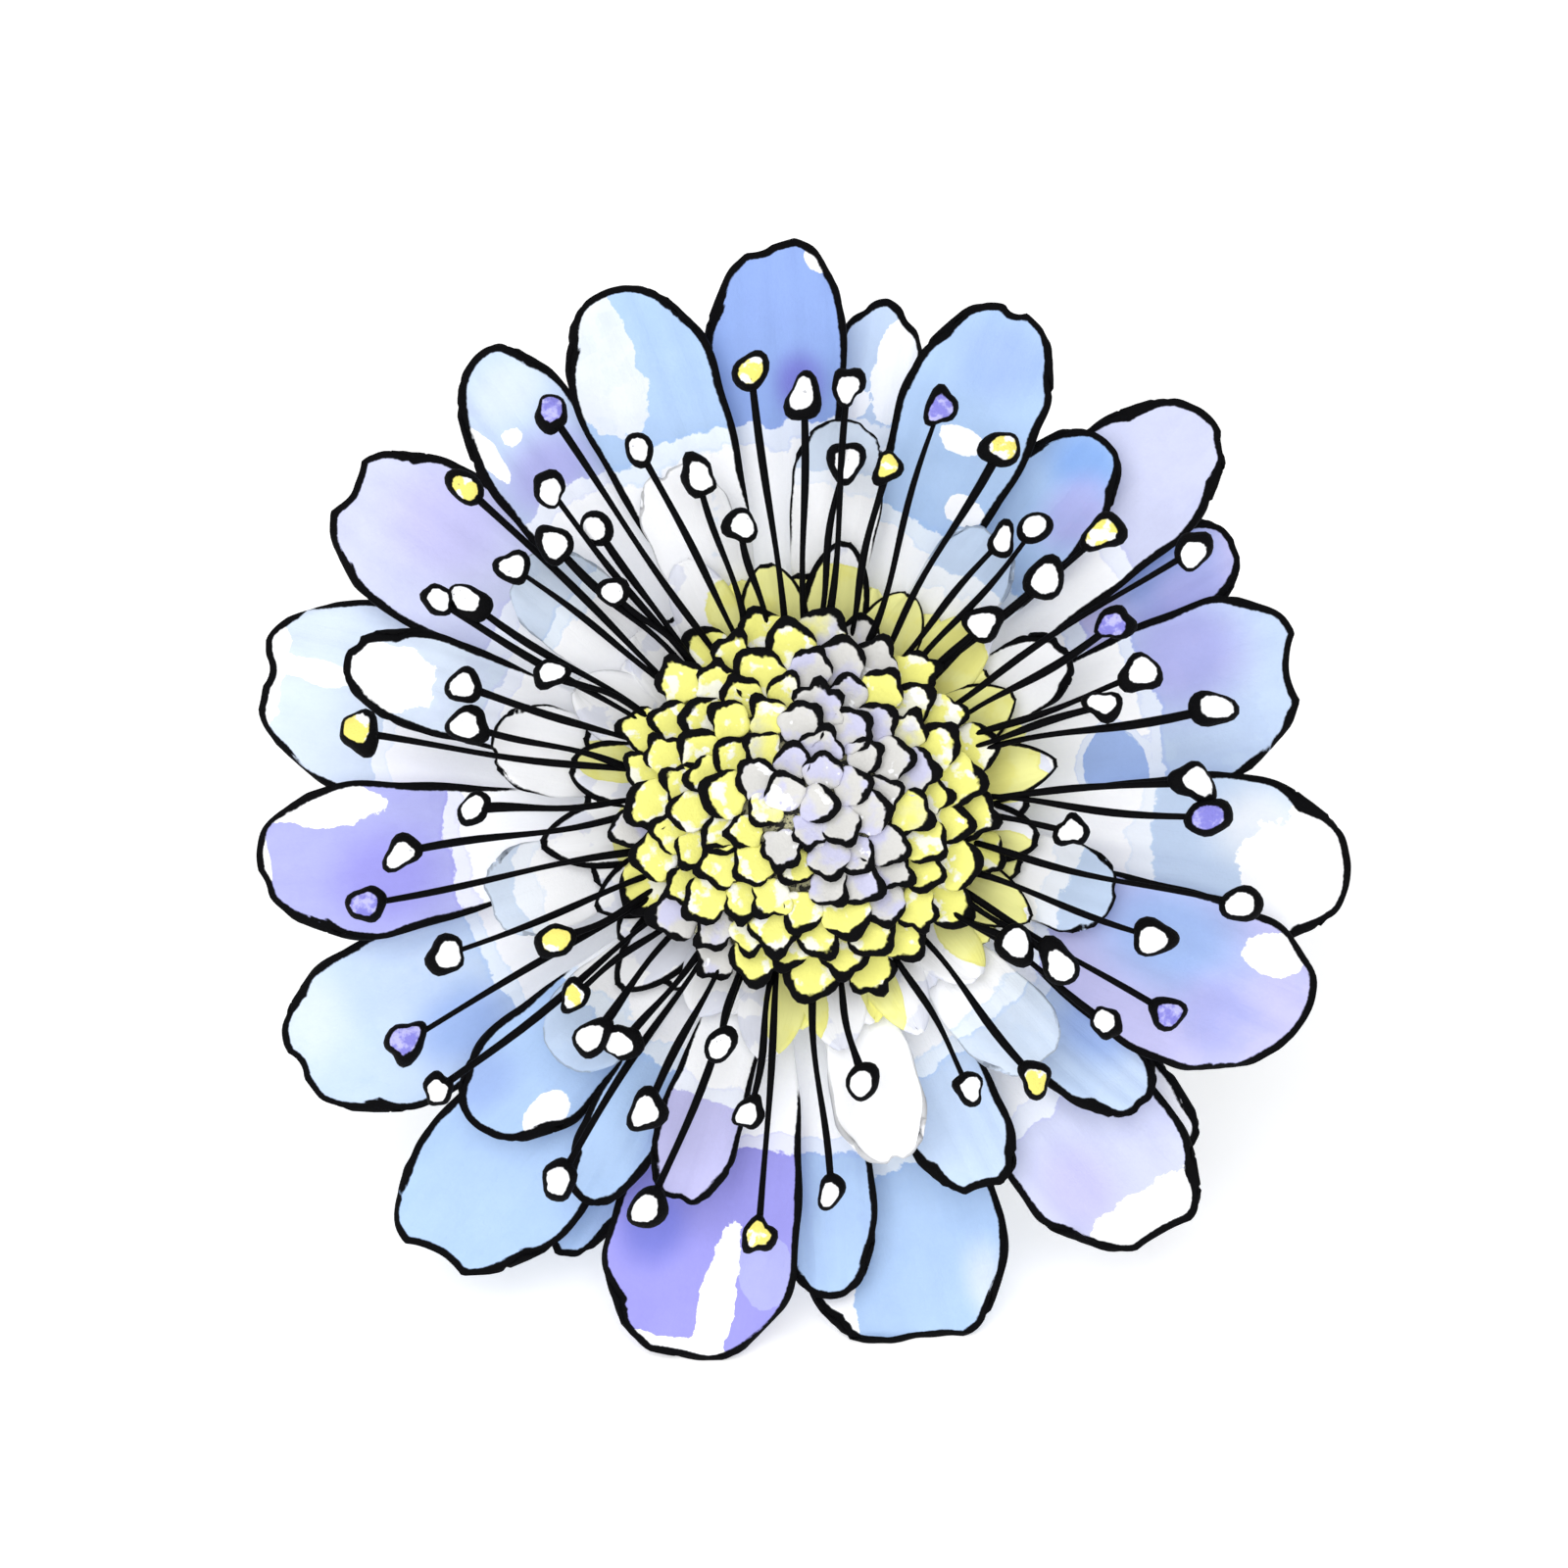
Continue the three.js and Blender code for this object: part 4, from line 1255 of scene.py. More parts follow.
@dataclass(frozen=True)
class Stamens:
    """Thin filaments that arch out over the petals, each with a pollen head at its end.

    Each stamen is given by its angle in degrees and how far it reaches from the head's axis.
    """

    places: tuple[tuple[int, int], ...] = STAMENS
    lean: float = 5.0
    root: Pair = (9.4, 4.9)
    crest: Pair = (14.5, 7.8)
    end_height: float = 7.6
    end_spread: float = 1.6
    radius: float = 0.225
    sides: int = 8
    steps: int = 18
    head_length: float = 1.38
    head_width: float = 1.16
    head_depth: float = 0.85
    head_spread: float = 0.16
    head_turn: float = 0.6
    head_tip: float = 0.25
    head_tilt: float = 0.2
    lumps: tuple[tuple[int, float], ...] = ((2, 0.18), (3, 0.16), (5, 0.07))
    dimple: Pair = (0.16, 0.45)
    sway: Pair = (0.1, 0.4)
    sway_waves: float = 5.0
    taper: Pair = (-0.3, 0.45)
    swell: Pair = (0.16, 11.0)
    fine_seed: int = 292

    def filament(self, piece: Workpiece, points: Sequence[Vector], fine: SeededDraw) -> None:
        """Adds one filament along a curve.

        Args:
            piece: The mesh that it is added to.
            points: The curve's root, crest and end.
            fine: The row of numbers for its wobble.
        """
        root, crest, end = points
        phase = fine() * math.tau
        sway, taper = fine.between(*self.sway), fine.between(*self.taper)
        swell, swells = self.swell
        side = Vector((-end.y, end.x, 0.0)).normalized()
        stations = []
        for step in range(self.steps + 1):
            along = step / self.steps
            point = root.lerp(crest, along).lerp(crest.lerp(end, along), along)
            forward = (crest - root).lerp(end - crest, along).normalized()
            swing = math.sin(phase + along * self.sway_waves) * along * (1.0 - along) * 4.0
            point = point + side * sway * swing
            width = self.radius * (1.0 + swell * math.sin(phase * 2.0 + along * swells))
            width *= 1.0 + taper * (2.0 * along - 1.0)
            turn = forward.to_track_quat("Z", "Y")
            stations.append(Matrix.LocRotScale(point, turn, Vector((width, width, 1.0))))
        piece.sweep(stations, self.sides)

    def pollen_head(
        self, piece: Workpiece, place: Matrix, tint: Mapping[str, float], fine: SeededDraw
    ) -> None:
        """Adds one pollen head, a flat uneven bead.

        Args:
            piece: The mesh that it is added to.
            place: Its place, turn and size.
            tint: How yellow and how lilac it is.
            fine: The row of numbers for its shape.
        """
        made = bmesh.ops.create_icosphere(piece.bm, subdivisions=3, radius=1.0)["verts"]
        lumps = [(n, fine() * math.tau, fine() * size) for n, size in self.lumps]
        tilt = Matrix.Identity(3)
        for axis in "XY":
            tilt = tilt @ Matrix.Rotation(fine.between(-self.head_tilt, self.head_tilt), 3, axis)
        depth, width = self.dimple
        for vert in made:
            unit = vert.co.copy()
            turn = math.atan2(unit.y, unit.x)
            lump = 1.0 + sum(size * math.sin(n * turn + phase) for n, phase, size in lumps)
            hollow = 1.0 - depth * math.exp(-((unit.xy.length / width) ** 2))
            vert.co = Vector((unit.x * lump, unit.y * lump, unit.z * hollow))
            piece.mark(vert, tint, {"bead": tilt @ unit})
        bmesh.ops.transform(piece.bm, matrix=place, verts=made)

    def filament_material(self) -> Material:
        """Builds the dark finish of the filaments.

        Returns:
            The material.
        """
        graph = Graph("filament_ink")
        face = graph.place("face")
        worn = graph.step(graph.noise(face, 1.2, 4.0, 0.6), 0.5, 1.1)
        colour = graph.mix(worn * 0.4, INK, "#1c2238")
        relief = graph.bump(graph.noise(face, 0.3, 3.0), 0.05, 0.5)
        return graph.finish(colour, 0.75, relief, INK_GLOSS)

    def head_material(self) -> Material:
        """Builds the finish of the pollen heads: pale faces in a dark rim.

        Returns:
            The material.
        """
        graph = Graph("pollen_head_wash")
        bead, face = graph.place("bead"), graph.place("face")
        mottle = graph.noise(face, 0.7, 3.0, 0.6)
        patch = graph.step(graph.noise(face, 1.3, 3.0), -0.2, 0.0)
        blot = graph.mix(graph.step(mottle, -0.2, 0.4), "#8583d6", "#b9b8ec")
        colour = graph.mix(graph.number("yellow") * patch, PAPER, "#eee276")
        colour = graph.mix(graph.number("lilac"), colour, blot)
        speck = graph.step(graph.noise(face, 0.4, 2.0), 0.62, 0.75)
        colour = graph.mix(speck * 0.5, colour, "#5b5a66")
        line = 1.0 - graph.step(abs(graph.height(bead)) + mottle * 0.07, 0.73, 0.78)
        colour = graph.mix(line, colour, INK)
        relief = graph.bump(graph.noise(face, 0.18, 3.0, 0.6), 0.06, 0.7)
        return graph.finish(colour, 0.6 + line * 0.15, relief, specular=0.1)

    def build(self, draw: SeededDraw) -> None:
        """Sets every stamen round the cushion.

        Args:
            draw: The row of numbers that the solids share.
        """
        fine = SeededDraw(self.fine_seed)
        threads = Workpiece("filaments", "florets", ["floret_head"], places=("face",))
        tints, places = ("yellow", "lilac"), ("bead", "face")
        heads = Workpiece("pollen_heads", "florets", ["floret_head"], tints, places)
        for degrees, reach in self.places:
            angle = math.radians(degrees)
            lean = math.radians(draw.between(-self.lean, self.lean))
            end = self.end_height + self.end_spread * draw()
            points = (
                polar(self.root[0], angle - lean, self.root[1]),
                polar(self.crest[0], angle - lean / 2.0, self.crest[1]),
                polar(reach, angle, end),
            )
            self.filament(threads, points, fine)
            size = draw.between(1.0 - self.head_spread, 1.0 + self.head_spread)
            turn = Matrix.Rotation(angle + draw.between(-self.head_turn, self.head_turn), 4, "Z")
            tip = Matrix.Rotation(fine.between(-self.head_tip, self.head_tip), 4, "Y")
            scale = Vector((self.head_length, self.head_width, self.head_depth)) * size
            place = Matrix.Translation(points[2]) @ turn @ tip @ Matrix.Diagonal((*scale, 1.0))
            sets = {"yellow": YELLOW_HEADS, "lilac": LILAC_HEADS}
            tint = {name: float(degrees in members) for name, members in sets.items()}
            self.pollen_head(heads, place, tint, fine)
        threads.finish(self.filament_material(), HEAD.matrix(), turn_out=True)
        heads.finish(self.head_material(), HEAD.matrix(), turn_out=True)


@dataclass(frozen=True)
class Collar:
    """The outermost ring of disc florets, whose one long lobe spreads as a short ray."""

    lobes: int = 20
    root: float = 8.3
    slit: float = 10.6
    reach: float = 16.9
    reach_spread: float = 1.3
    height: float = 2.4
    slope: float = 0.24
    keel: float = 0.16
    overlap: float = 1.25
    stagger: float = 0.1
    thickness: float = 0.3
    columns: int = 12
    rows: int = 20
    seed: int = 5
    fine_seed: int = 51
    width_spread: Pair = (0.9, 1.1)
    crimp: Pair = (0.05, 0.16)
    stray_pen: Pair = (-1.2, 0.6)
    point: Pair = (0.5, 0.8)
    lower_drop: float = 0.42
    lower_turn: float = 0.1
    lower_short: Pair = (1.2, 2.2)
    yellow: tuple[Spot, ...] = (
        Spot(88.0, 13.0, 7.5, 3.4),
        Spot(50.0, 13.5, 5.0, 2.8),
        Spot(20.0, 13.0, 4.5, 3.6),
        Spot(5.0, 14.0, 1.2, 3.0),
        Spot(-18.0, 14.5, 2.6, 3.6),
        Spot(-34.0, 14.3, 2.9, 3.6),
        Spot(-68.0, 14.0, 1.4, 3.0),
        Spot(-92.0, 14.0, 2.2, 3.6),
        Spot(168.0, 13.5, 1.4, 2.6),
        Spot(192.0, 11.5, 2.5, 1.8),
    )
    lined: tuple[Pair, ...] = ((-6.0, 12.0), (198.0, 34.0), (88.0, 8.0))
    fade: float = 8.0
    line_width: float = 0.46
    yellow_edge: Triple = (0.5, 0.53, 0.6)
    vein_scale: Triple = (1.0, 0.1, 1.0)
    paints: tuple[str, str] = ("#fbfaa4", "#f8f592")
    plain: str = "#e7eaf6"
    rim: str = "#dcd768"

    def pen(self, degrees: float) -> float:
        """How strongly a ray is outlined, from where it stands in the ring.

        Args:
            degrees: The ray's angle.

        Returns:
            A strength from 0 to 1.
        """
        return max(
            1.0 - smoothstep(abs((degrees - middle + 180.0) % 360.0 - 180.0), half, half + self.fade)
            for middle, half in self.lined
        )

    def ray(self, piece: Workpiece, turn: float, reach: float, drop: float, fine: SeededDraw) -> None:
        """Adds one ray.

        Args:
            piece: The mesh that it is added to.
            turn: Its angle, in radians.
            reach: How far its tip is from the head's axis.
            drop: How far it lies below the ring's own surface.
            fine: The row of numbers for its shape.
        """
        half_turn = math.pi / self.lobes * self.overlap * fine.between(*self.width_spread)
        phase, crimp = fine() * math.tau, fine.between(*self.crimp)
        ink = max(self.pen(math.degrees(turn)), fine.between(*self.stray_pen))
        point = fine.between(*self.point)
        for vert in piece.grid(self.columns, self.rows):
            across, share = vert.co.x, (vert.co.y + 1.0) / 2.0
            along = 1.0 - (1.0 - share) ** 1.5
            radius = lerp(self.root, reach, along)
            beyond = max(0.0, (radius - self.slit) / (reach - self.slit))
            width = max(0.02, 1.0 - beyond**2) ** point
            angle = turn + across * width * half_turn
            lift = -self.keel * (across * across * 2.0 - 1.0) * along - drop
            lift += crimp * beyond * math.sin(phase + across * 5.0)
            to_side = (1.0 - abs(across)) * width * half_turn * radius
            vert.co = polar(radius, angle, self.height + self.slope * (radius - self.root) + lift)
            numbers = {
                "margin": min(to_side, (reach - radius) * 1.2),
                "nib": max(0.0, ink) * smoothstep(radius, self.slit, self.slit + 3.0),
                "tone": max(patch.at(vert.co) for patch in self.yellow),
            }
            piece.mark(vert, numbers, {"blade": Vector((across * 2.0, radius, phase * 20.0))})

    def material(self) -> Material:
        """Builds the finish: yellow wash on some rays, near white on others.

        Returns:
            The material.
        """
        graph = Graph("collar_wash")
        blade, face = graph.place("blade"), graph.place("face")
        tone = graph.number("tone") + graph.noise(face, 3.0, 5.0, 0.6) * 0.16
        yellow, dried = graph.pooled(tone, self.yellow_edge)
        paint = graph.mix(graph.step(graph.noise(face, 2.6, 4.0), -0.1, 0.3), *self.paints)
        plain = graph.mix(graph.step(graph.noise(face, 3.0, 4.0), 0.0, 0.1), PAPER, self.plain)
        colour = graph.mix(yellow, plain, paint)
        colour = graph.mix(dried * 0.3, colour, self.rim)
        veins = graph.noise(graph.stretched(blade, self.vein_scale), 0.4, 3.0)
        colour = graph.shaded(colour, 1.0 + veins * 0.02)
        colour, line = inked(graph, colour, blade, self.line_width)
        relief = graph.bump(veins, 0.05, 0.6)
        return graph.finish(colour, 0.64 + line * 0.2, relief, PAINT_GLOSS)

    def build(self) -> None:
        """Builds the ring of rays, with a lower ring of shorter ones in its gaps."""
        piece = Workpiece("collar_rays", "collar", ["collar_florets"], ("margin", "nib", "tone"))
        draw, fine = SeededDraw(self.seed), SeededDraw(self.fine_seed)
        for i in range(self.lobes):
            reach = self.reach + self.reach_spread * ((i % 2) - draw())
            turn = -(i + 0.5) * math.tau / self.lobes
            self.ray(piece, turn, reach, self.stagger * (i % 2), fine)
        for i in range(self.lobes):
            turn = -(i + fine.between(-self.lower_turn, self.lower_turn)) * math.tau / self.lobes
            reach = self.reach - fine.between(*self.lower_short)
            self.ray(piece, turn, reach, self.lower_drop, fine)
        piece.finish(self.material(), HEAD.matrix(), self.thickness)


@dataclass(frozen=True)
class GreenFinish:
    """Green wash with darker ribs, for the cup, the bracts and the stem."""

    name: str
    pale: str
    body: str
    deep: str
    rib_scale: Triple

    def material(self, lined: bool) -> Material:
        """Builds the finish.

        Args:
            lined: Whether the piece has a margin that the pen follows.

        Returns:
            The material.
        """
        graph = Graph(self.name)
        blade, face = graph.place("blade"), graph.place("face")
        ribs = graph.noise(graph.stretched(blade, self.rib_scale), 0.6, 3.0, 0.6)
        blotch = graph.noise(face, 3.5, 5.0, 0.6)
        colour = graph.mix(graph.step(blotch, -0.1, 0.0), self.pale, self.body)
        colour = graph.mix(graph.step(ribs, 0.1, 0.7) * 0.55, colour, self.deep)
        colour = graph.shaded(colour, 1.0 + graph.noise(blade, 0.2, 2.0) * 0.03)
        relief = graph.bump(ribs, 0.08, 0.6)
        roughness = 0.6 + blotch * 0.05
        if lined:
            colour, line = inked(graph, colour, blade, 0.3)
            roughness = roughness - line * 0.15
        return graph.finish(colour, roughness, relief, GREEN_GLOSS)


def hair(piece: Workpiece, foot: Vector, tip: Vector, radius: float) -> None:
    """Adds one fine hair, a slim three-sided cone.

    Args:
        piece: The mesh that it is added to.
        foot: Where it grows, a little below the surface.
        tip: Where it ends.
        radius: Its radius at the foot.
    """
    turn = (tip - foot).to_track_quat("Z", "Y")
    ends = ((foot, radius), (tip, radius / 6.0))
    piece.sweep([Matrix.LocRotScale(end, turn, Vector((r, r, 1.0))) for end, r in ends], 3)


@dataclass(frozen=True)
class Involucre:
    """The green cup below the petals, with its ring of narrow bracts."""

    foot: float = -8.7
    top: float = -4.25
    cup_profile: tuple[Pair, ...] = (
        (1.9, -8.7),
        (2.9, -8.3),
        (5.4, -6.7),
        (7.6, -5.3),
        (8.1, -4.7),
        (8.1, -4.25),
    )
    steps: int = 72
    ribs: int = 24
    rib_depth: float = 0.025
    count: int = 12
    jitter: float = 0.3
    root: float = 5.0
    reach: float = 16.6
    reach_spread: float = 1.4
    half_width: float = 1.45
    shoulder: float = 0.3
    tip: float = 0.98
    height: float = -5.5
    slope: float = -0.08
    keel: float = 0.28
    thickness: float = 0.34
    columns: int = 8
    rows: int = 26
    seed: int = 41
    fine_seed: int = 411
    sway: float = 0.5
    ripple: Pair = (0.1, 14.0)
    pen_start: Pair = (7.5, 10.0)
    hairs: int = 260
    hair_root: float = 3.0
    hair_radius: float = 0.035
    hair_length: Pair = (0.35, 0.7)
    hair_rise: Pair = (-0.4, 0.1)
    hair_lean: float = 0.3

    def half(self, along: float) -> float:
        """Half the width of a bract, at a share of its length."""
        return self.half_width * math.sin(math.pi * lerp(self.shoulder, self.tip, along))

    def level(self, radius: float) -> float:
        """The height of the bracts' middles, at a distance from the axis."""
        return self.height + self.slope * (radius - self.root)

    def cup(self, material: Material) -> None:
        """Turns the cup and ribs its side.

        Args:
            material: Its finish.
        """
        piece = Workpiece("involucre_cup", "bracts", ["involucre"])
        outline = [(0.0, self.foot), *self.cup_profile, (0.0, self.top)]
        turned(piece.bm, [Vector((radius, 0.0, height)) for radius, height in outline], self.steps)
        bmesh.ops.subdivide_edges(
            piece.bm,
            edges=[e for e in piece.bm.edges if abs(e.verts[0].co.z - e.verts[1].co.z) > 0.2],
            cuts=2,
            use_grid_fill=True,
        )
        for vert in piece.bm.verts:
            angle = math.atan2(vert.co.y, vert.co.x)
            rib = 1.0 + self.rib_depth * math.cos(self.ribs * angle)
            vert.co.x *= rib
            vert.co.y *= rib
            vert[piece.place["blade"]] = (angle * 5.0, vert.co.xy.length, 0.0)
        piece.finish(material, HEAD.matrix(), turn_out=True)

    def bract(self, piece: Workpiece, angle: float, reach: float, fine: SeededDraw) -> None:
        """Adds one bract.

        Args:
            piece: The mesh that it is added to.
            angle: Its angle, in radians.
            reach: How far its tip is from the head's axis.
            fine: The row of numbers for its shape.
        """
        phase, sway = fine() * math.tau, fine.between(-self.sway, self.sway)
        depth, waves = self.ripple
        made = piece.grid(self.columns, self.rows)
        for vert in made:
            across, along = vert.co.x, (vert.co.y + 1.0) / 2.0
            half, radius = self.half(along), lerp(self.root, reach, along)
            fold = self.keel * (abs(across) - 1.0) * (1.0 - along)
            ripple = depth * across * across * math.sin(phase + along * waves) * along
            height = self.level(radius) + fold + ripple
            vert.co = Vector((across * half + sway * along * along, radius, height))
            numbers = {
                "margin": min((1.0 - abs(across)) * half, (1.0 - along) * 6.0),
                "nib": smoothstep(radius, *self.pen_start),
            }
            piece.mark(vert, numbers, {"blade": (across * half, radius, phase * 20.0)})
        turn = Matrix.Rotation(angle - math.pi / 2.0, 4, "Z")
        bmesh.ops.transform(piece.bm, matrix=turn, verts=made)

    def edge_hair(self, piece: Workpiece, angle: float, reach: float, fine: SeededDraw) -> None:
        """Adds one hair at the margin of a bract.

        Args:
            piece: The mesh that it is added to.
            angle: The bract's angle, in radians.
            reach: How far the bract's tip is from the head's axis.
            fine: The row of numbers for its place and length.
        """
        along, side = fine(), 1.0 if fine() > 0.5 else -1.0
        radius, sideways = lerp(self.root + self.hair_root, reach, along), angle + math.pi / 2.0
        foot = polar(radius, angle, self.level(radius))
        foot += polar(side * self.half(along) * 0.9, sideways)
        out = side * fine.between(*self.hair_length)
        out = polar(out, sideways, fine.between(*self.hair_rise))
        hair(piece, foot, foot + out + polar(self.hair_lean, angle), self.hair_radius)

    def build(self) -> None:
        """Builds the cup, its bracts and the short hairs on them."""
        draw, fine = SeededDraw(self.seed), SeededDraw(self.fine_seed)
        cup = GreenFinish("cup_wash", "#b5cf9a", "#92b477", "#648a50", (1.0, 0.1, 1.0))
        self.cup(cup.material(False))
        piece = Workpiece("bracts", "bracts", ["involucre"], ("margin", "nib"))
        down = Workpiece("involucre_down", "bracts", ["involucre"], places=("face",))
        for i in range(self.count):
            angle = (i + self.jitter * draw()) * math.tau / self.count
            reach = self.reach + self.reach_spread * ((i % 2) - draw())
            self.bract(piece, angle, reach, fine)
            for _ in range(self.hairs // self.count):
                self.edge_hair(down, angle, reach, fine)
        bracts = GreenFinish("bract_wash", "#bfd6a4", "#9abb7e", "#6b9157", (1.0, 0.08, 1.0))
        piece.finish(bracts.material(True), HEAD.matrix(), self.thickness)
        down.finish(down_material(), HEAD.matrix(), turn_out=True)


def down_material() -> Material:
    """Builds the finish of the fine pale hairs.

    Returns:
        The material.
    """
    graph = Graph("pale_down")
    tint = graph.step(graph.noise(graph.place("face"), 2.0, 2.0), -0.3, 0.3)
    return graph.finish(graph.mix(tint, "#dfe8cf", "#b9cda4"), 0.6)


@dataclass(frozen=True)
class Stem:
    """The stem, which leaves the cup straight back and bends to lie along the table."""

    top_radius: float = 1.75
    radius: float = 1.2
    reach: float = 60.0
    drift: float = 4.0
    pull: float = 19.0
    rest: float = 30.0
    flare: float = 6.0
    sink: float = 0.12
    start: float = -8.5
    sides: int = 32
    steps: int = 90
    ribs: int = 8
    rib_depth: float = 0.035
    rind: Pair = (0.28, 0.02)
    pith: Pair = (0.4, -0.06)
    hairs: int = 420
    hair_span: Pair = (0.03, 0.97)
    hair_root: float = 0.95
    hair_radius: float = 0.03
    hair_length: Pair = (0.3, 0.65)
    hair_lean: Pair = (-0.25, 0.05)
    hair_lowest: float = 0.06
    fine_seed: int = 611

    def curve(self) -> list[Vector]:
        """Lists the four points of the stem's curve, over the table.

        Returns:
            The points, in millimetres.
        """
        base = HEAD.matrix()
        shift = Vector((HEAD.centre[0], HEAD.centre[1], 0.0))
        top = base @ Vector((0.0, 0.0, self.start))
        back = base.to_3x3() @ Vector((0.0, 0.0, -1.0))
        end = Vector((self.drift, self.reach, self.radius - self.sink)) + shift
        run = Vector((self.drift / self.reach, 1.0, 0.0)).normalized()
        return [top, top + back * self.pull, end - run * self.rest, end]

    def station(self, points: Sequence[Vector], along: float) -> Matrix:
        """The place and turn of the stem at a share of its curve.

        Args:
            points: The curve's four points.
            along: The share, 0 at the cup and 1 at the cut end.

        Returns:
            A matrix whose Z runs along the stem and whose scale is the radius.
        """
        a, b, c, d = points
        ab, bc, cd = a.lerp(b, along), b.lerp(c, along), c.lerp(d, along)
        point = ab.lerp(bc, along).lerp(bc.lerp(cd, along), along)
        forward = (bc.lerp(cd, along) - ab.lerp(bc, along)).normalized()
        up = forward.cross(Vector((1.0, 0.0, 0.0))).normalized()
        across = up.cross(forward).normalized()
        radius = lerp(self.radius, self.top_radius, (1.0 - along) ** self.flare)
        turn = Matrix((across, up, forward)).transposed().to_4x4()
        return Matrix.Translation(point) @ turn @ Matrix.Diagonal((radius, radius, 1.0, 1.0))

    def build(self) -> None:
        """Sweeps the stem, closes its cut end and sets its hairs."""
        piece = Workpiece("stem_stalk", "stem", ["stem"], ("pith",))
        points = self.curve()
        stations = [self.station(points, step / self.steps) for step in range(self.steps + 1)]
        rings = piece.sweep(stations, self.sides)
        for step, ring in enumerate(rings):
            inverse = stations[step].inverted()
            for vert in ring:
                local = inverse @ vert.co
                angle = math.atan2(local.y, local.x)
                rib = 1.0 + self.rib_depth * math.cos(self.ribs * angle)
                vert[piece.place["blade"]] = (angle * 1.2, step * 0.75, 0.0)
                vert.co = stations[step] @ Vector((local.x * rib, local.y * rib, local.z))
        for face in [end for end in piece.bm.faces if len(end.verts) == self.sides]:
            width, depth = self.rind
            bmesh.ops.inset_individual(piece.bm, faces=[face], thickness=width, depth=depth)
            for vert in face.verts:
                vert[piece.number["pith"]] = 1.0
            width, depth = self.pith
            bmesh.ops.inset_individual(piece.bm, faces=[face], thickness=width, depth=depth)
        piece.finish(self.material(), Matrix.Identity(4), turn_out=True, lowest=0.0)
        down = Workpiece("stem_down", "stem", ["stem"], places=("face",))
        fine = SeededDraw(self.fine_seed)
        for _ in range(self.hairs):
            station = self.station(points, fine.between(*self.hair_span))
            angle = fine() * math.tau
            foot = station @ polar(self.hair_root, angle)
            out = (station.to_3x3() @ polar(1.0, angle)).normalized()
            out *= fine.between(*self.hair_length)
            out += station.to_3x3() @ Vector((0.0, 0.0, fine.between(*self.hair_lean)))
            if (foot + out).z > self.hair_lowest:
                hair(down, foot, foot + out, self.hair_radius)
        down.finish(down_material(), Matrix.Identity(4), turn_out=True, lowest=0.01)

    def material(self) -> Material:
        """Builds the ribbed green finish, with a pale pith in the cut end.

        Returns:
            The material.
        """
        graph = Graph("stem_wash")
        blade, face = graph.place("blade"), graph.place("face")
        ribs = graph.noise(graph.stretched(blade, (1.0, 0.05, 1.0)), 0.35, 3.0, 0.6)
        blotch = graph.noise(face, 4.0, 5.0, 0.6)
        colour = graph.mix(graph.step(blotch, -0.1, 0.05), "#b0c893", "#8fb074")
        colour = graph.mix(graph.step(ribs, 0.0, 0.8) * 0.5, colour, "#5f8549")
        pith = graph.step(graph.number("pith"), 0.4, 0.6)
        colour = graph.mix(pith, colour, "#e6edd2")
        return graph.finish(colour, 0.58, graph.bump(ribs, 0.06, 0.6), GREEN_GLOSS)


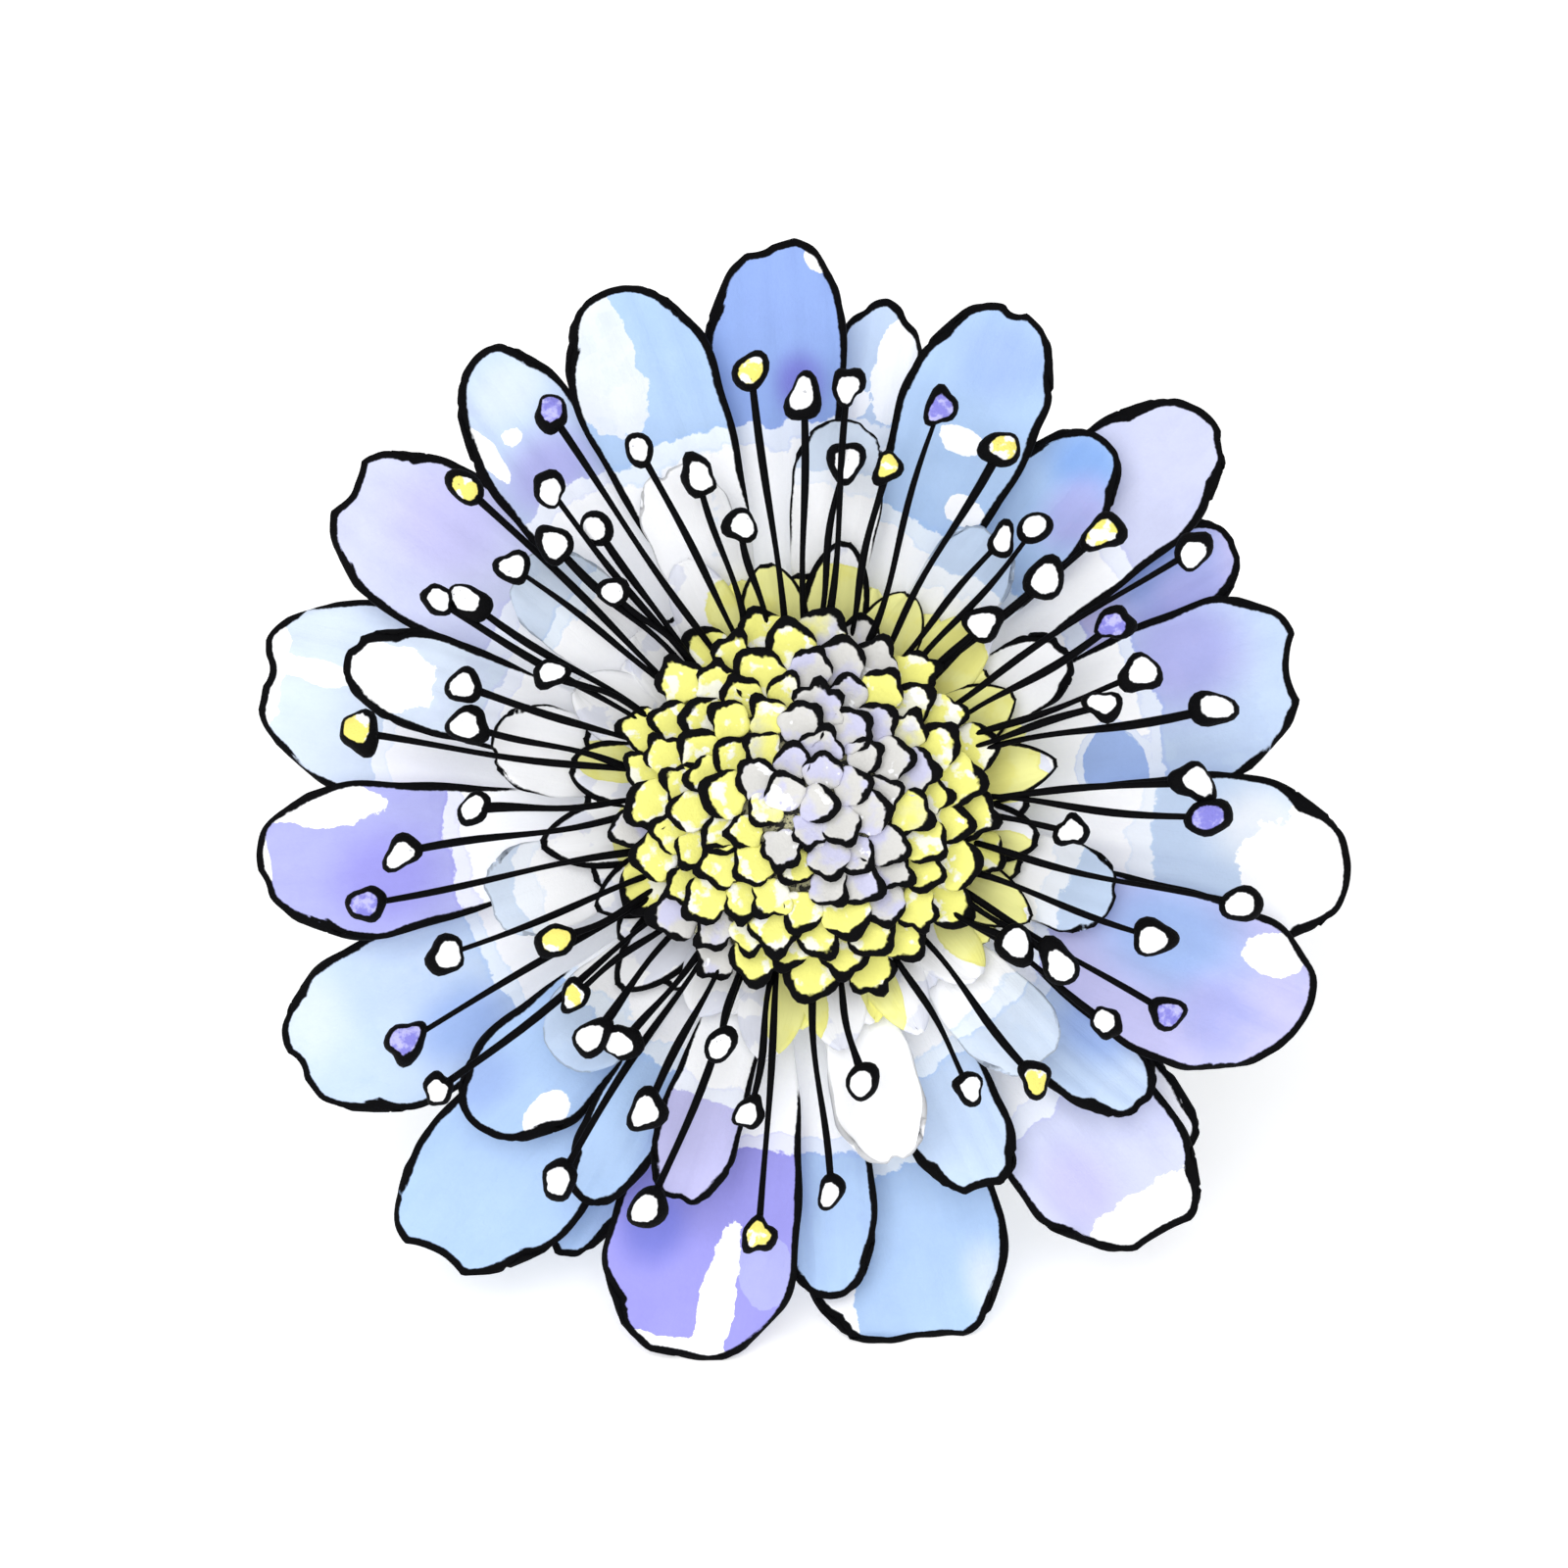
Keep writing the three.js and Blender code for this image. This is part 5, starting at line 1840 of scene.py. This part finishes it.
@dataclass(frozen=True)
class Studio:
    """The camera in front of the head's face, a pale floor and soft light."""

    lens: float = 150.0
    sensor: float = 36.0
    frame_width: float = 106.7
    aim: Triple = (-1.33, 1.27, 0.0)
    clip: Pair = (0.01, 20.0)
    floor_size: float = 6.0
    floor_drop: float = 0.00005
    floor_colour: str = "#ffffff"
    floor_glow: float = 0.25
    key_energy: float = 7.6
    key_size: float = 0.9
    key_direction: Triple = (-0.2, -0.78, 0.8)
    key_distance: float = 1.0
    sky_strength: float = 0.6

    def camera(self) -> None:
        """Makes the camera, which looks straight at the head's face."""
        lens = bpy.data.cameras.new("camera")
        lens.lens = self.lens
        lens.sensor_width = self.sensor
        lens.clip_start, lens.clip_end = self.clip
        distance = self.frame_width * self.lens / self.sensor
        place = HEAD.matrix() @ Matrix.Translation((self.aim[0], self.aim[1], distance))
        place.translation *= MM
        camera = bpy.data.objects.new("camera", lens)
        camera.matrix_world = place
        bpy.context.scene.collection.objects.link(camera)
        bpy.context.scene.camera = camera

    def floor(self) -> None:
        """Makes the pale floor."""
        bm = bmesh.new()
        bmesh.ops.create_grid(bm, x_segments=1, y_segments=1, size=self.floor_size / 2.0)
        bmesh.ops.translate(bm, vec=(0.0, 0.0, -self.floor_drop), verts=bm.verts)
        mesh = bpy.data.meshes.new("floor")
        bm.to_mesh(mesh)
        bm.free()
        pale = Graph("pale_floor").finish(
            self.floor_colour, 0.9, specular=0.1, glow=self.floor_glow
        )
        mesh.materials.append(pale)
        floor = bpy.data.objects.new("floor", mesh)
        bpy.context.scene.collection.objects.link(floor)

    def key_lamp(self) -> None:
        """Hangs a soft square lamp in front of the flower, which shines on it."""
        light = bpy.data.lights.new("key_lamp", "AREA")
        light.energy = self.key_energy
        light.size = self.key_size
        lamp = bpy.data.objects.new("key_lamp", light)
        way = Vector(self.key_direction).normalized()
        lamp.matrix_world = Matrix.LocRotScale(
            way * self.key_distance, way.to_track_quat("Z", "Y"), None
        )
        bpy.context.scene.collection.objects.link(lamp)

    def build(self) -> None:
        """Makes the camera, the floor, the lamp and the white room."""
        self.camera()
        self.floor()
        self.key_lamp()
        world = bpy.data.worlds.new("white_room")
        world.use_nodes = True
        room = world.node_tree.nodes["Background"]
        room.inputs["Color"].default_value = (1.0, 1.0, 1.0, 1.0)
        room.inputs["Strength"].default_value = self.sky_strength
        bpy.context.scene.world = world
        bpy.context.scene.view_settings.view_transform = "Standard"


def main() -> None:
    """Builds the studio and the flower."""
    logging.basicConfig(level=logging.INFO, format="%(name)s: %(message)s")
    Studio().build()
    Corolla().build()
    Collar().build()
    receptacle = Receptacle()
    receptacle.build()
    shared = SeededDraw(DiscFlorets.seed)
    DiscFlorets().build(receptacle, shared)
    Stamens().build(shared)
    Involucre().build()
    Stem().build()
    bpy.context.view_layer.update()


if __name__ == "__main__":
    main()
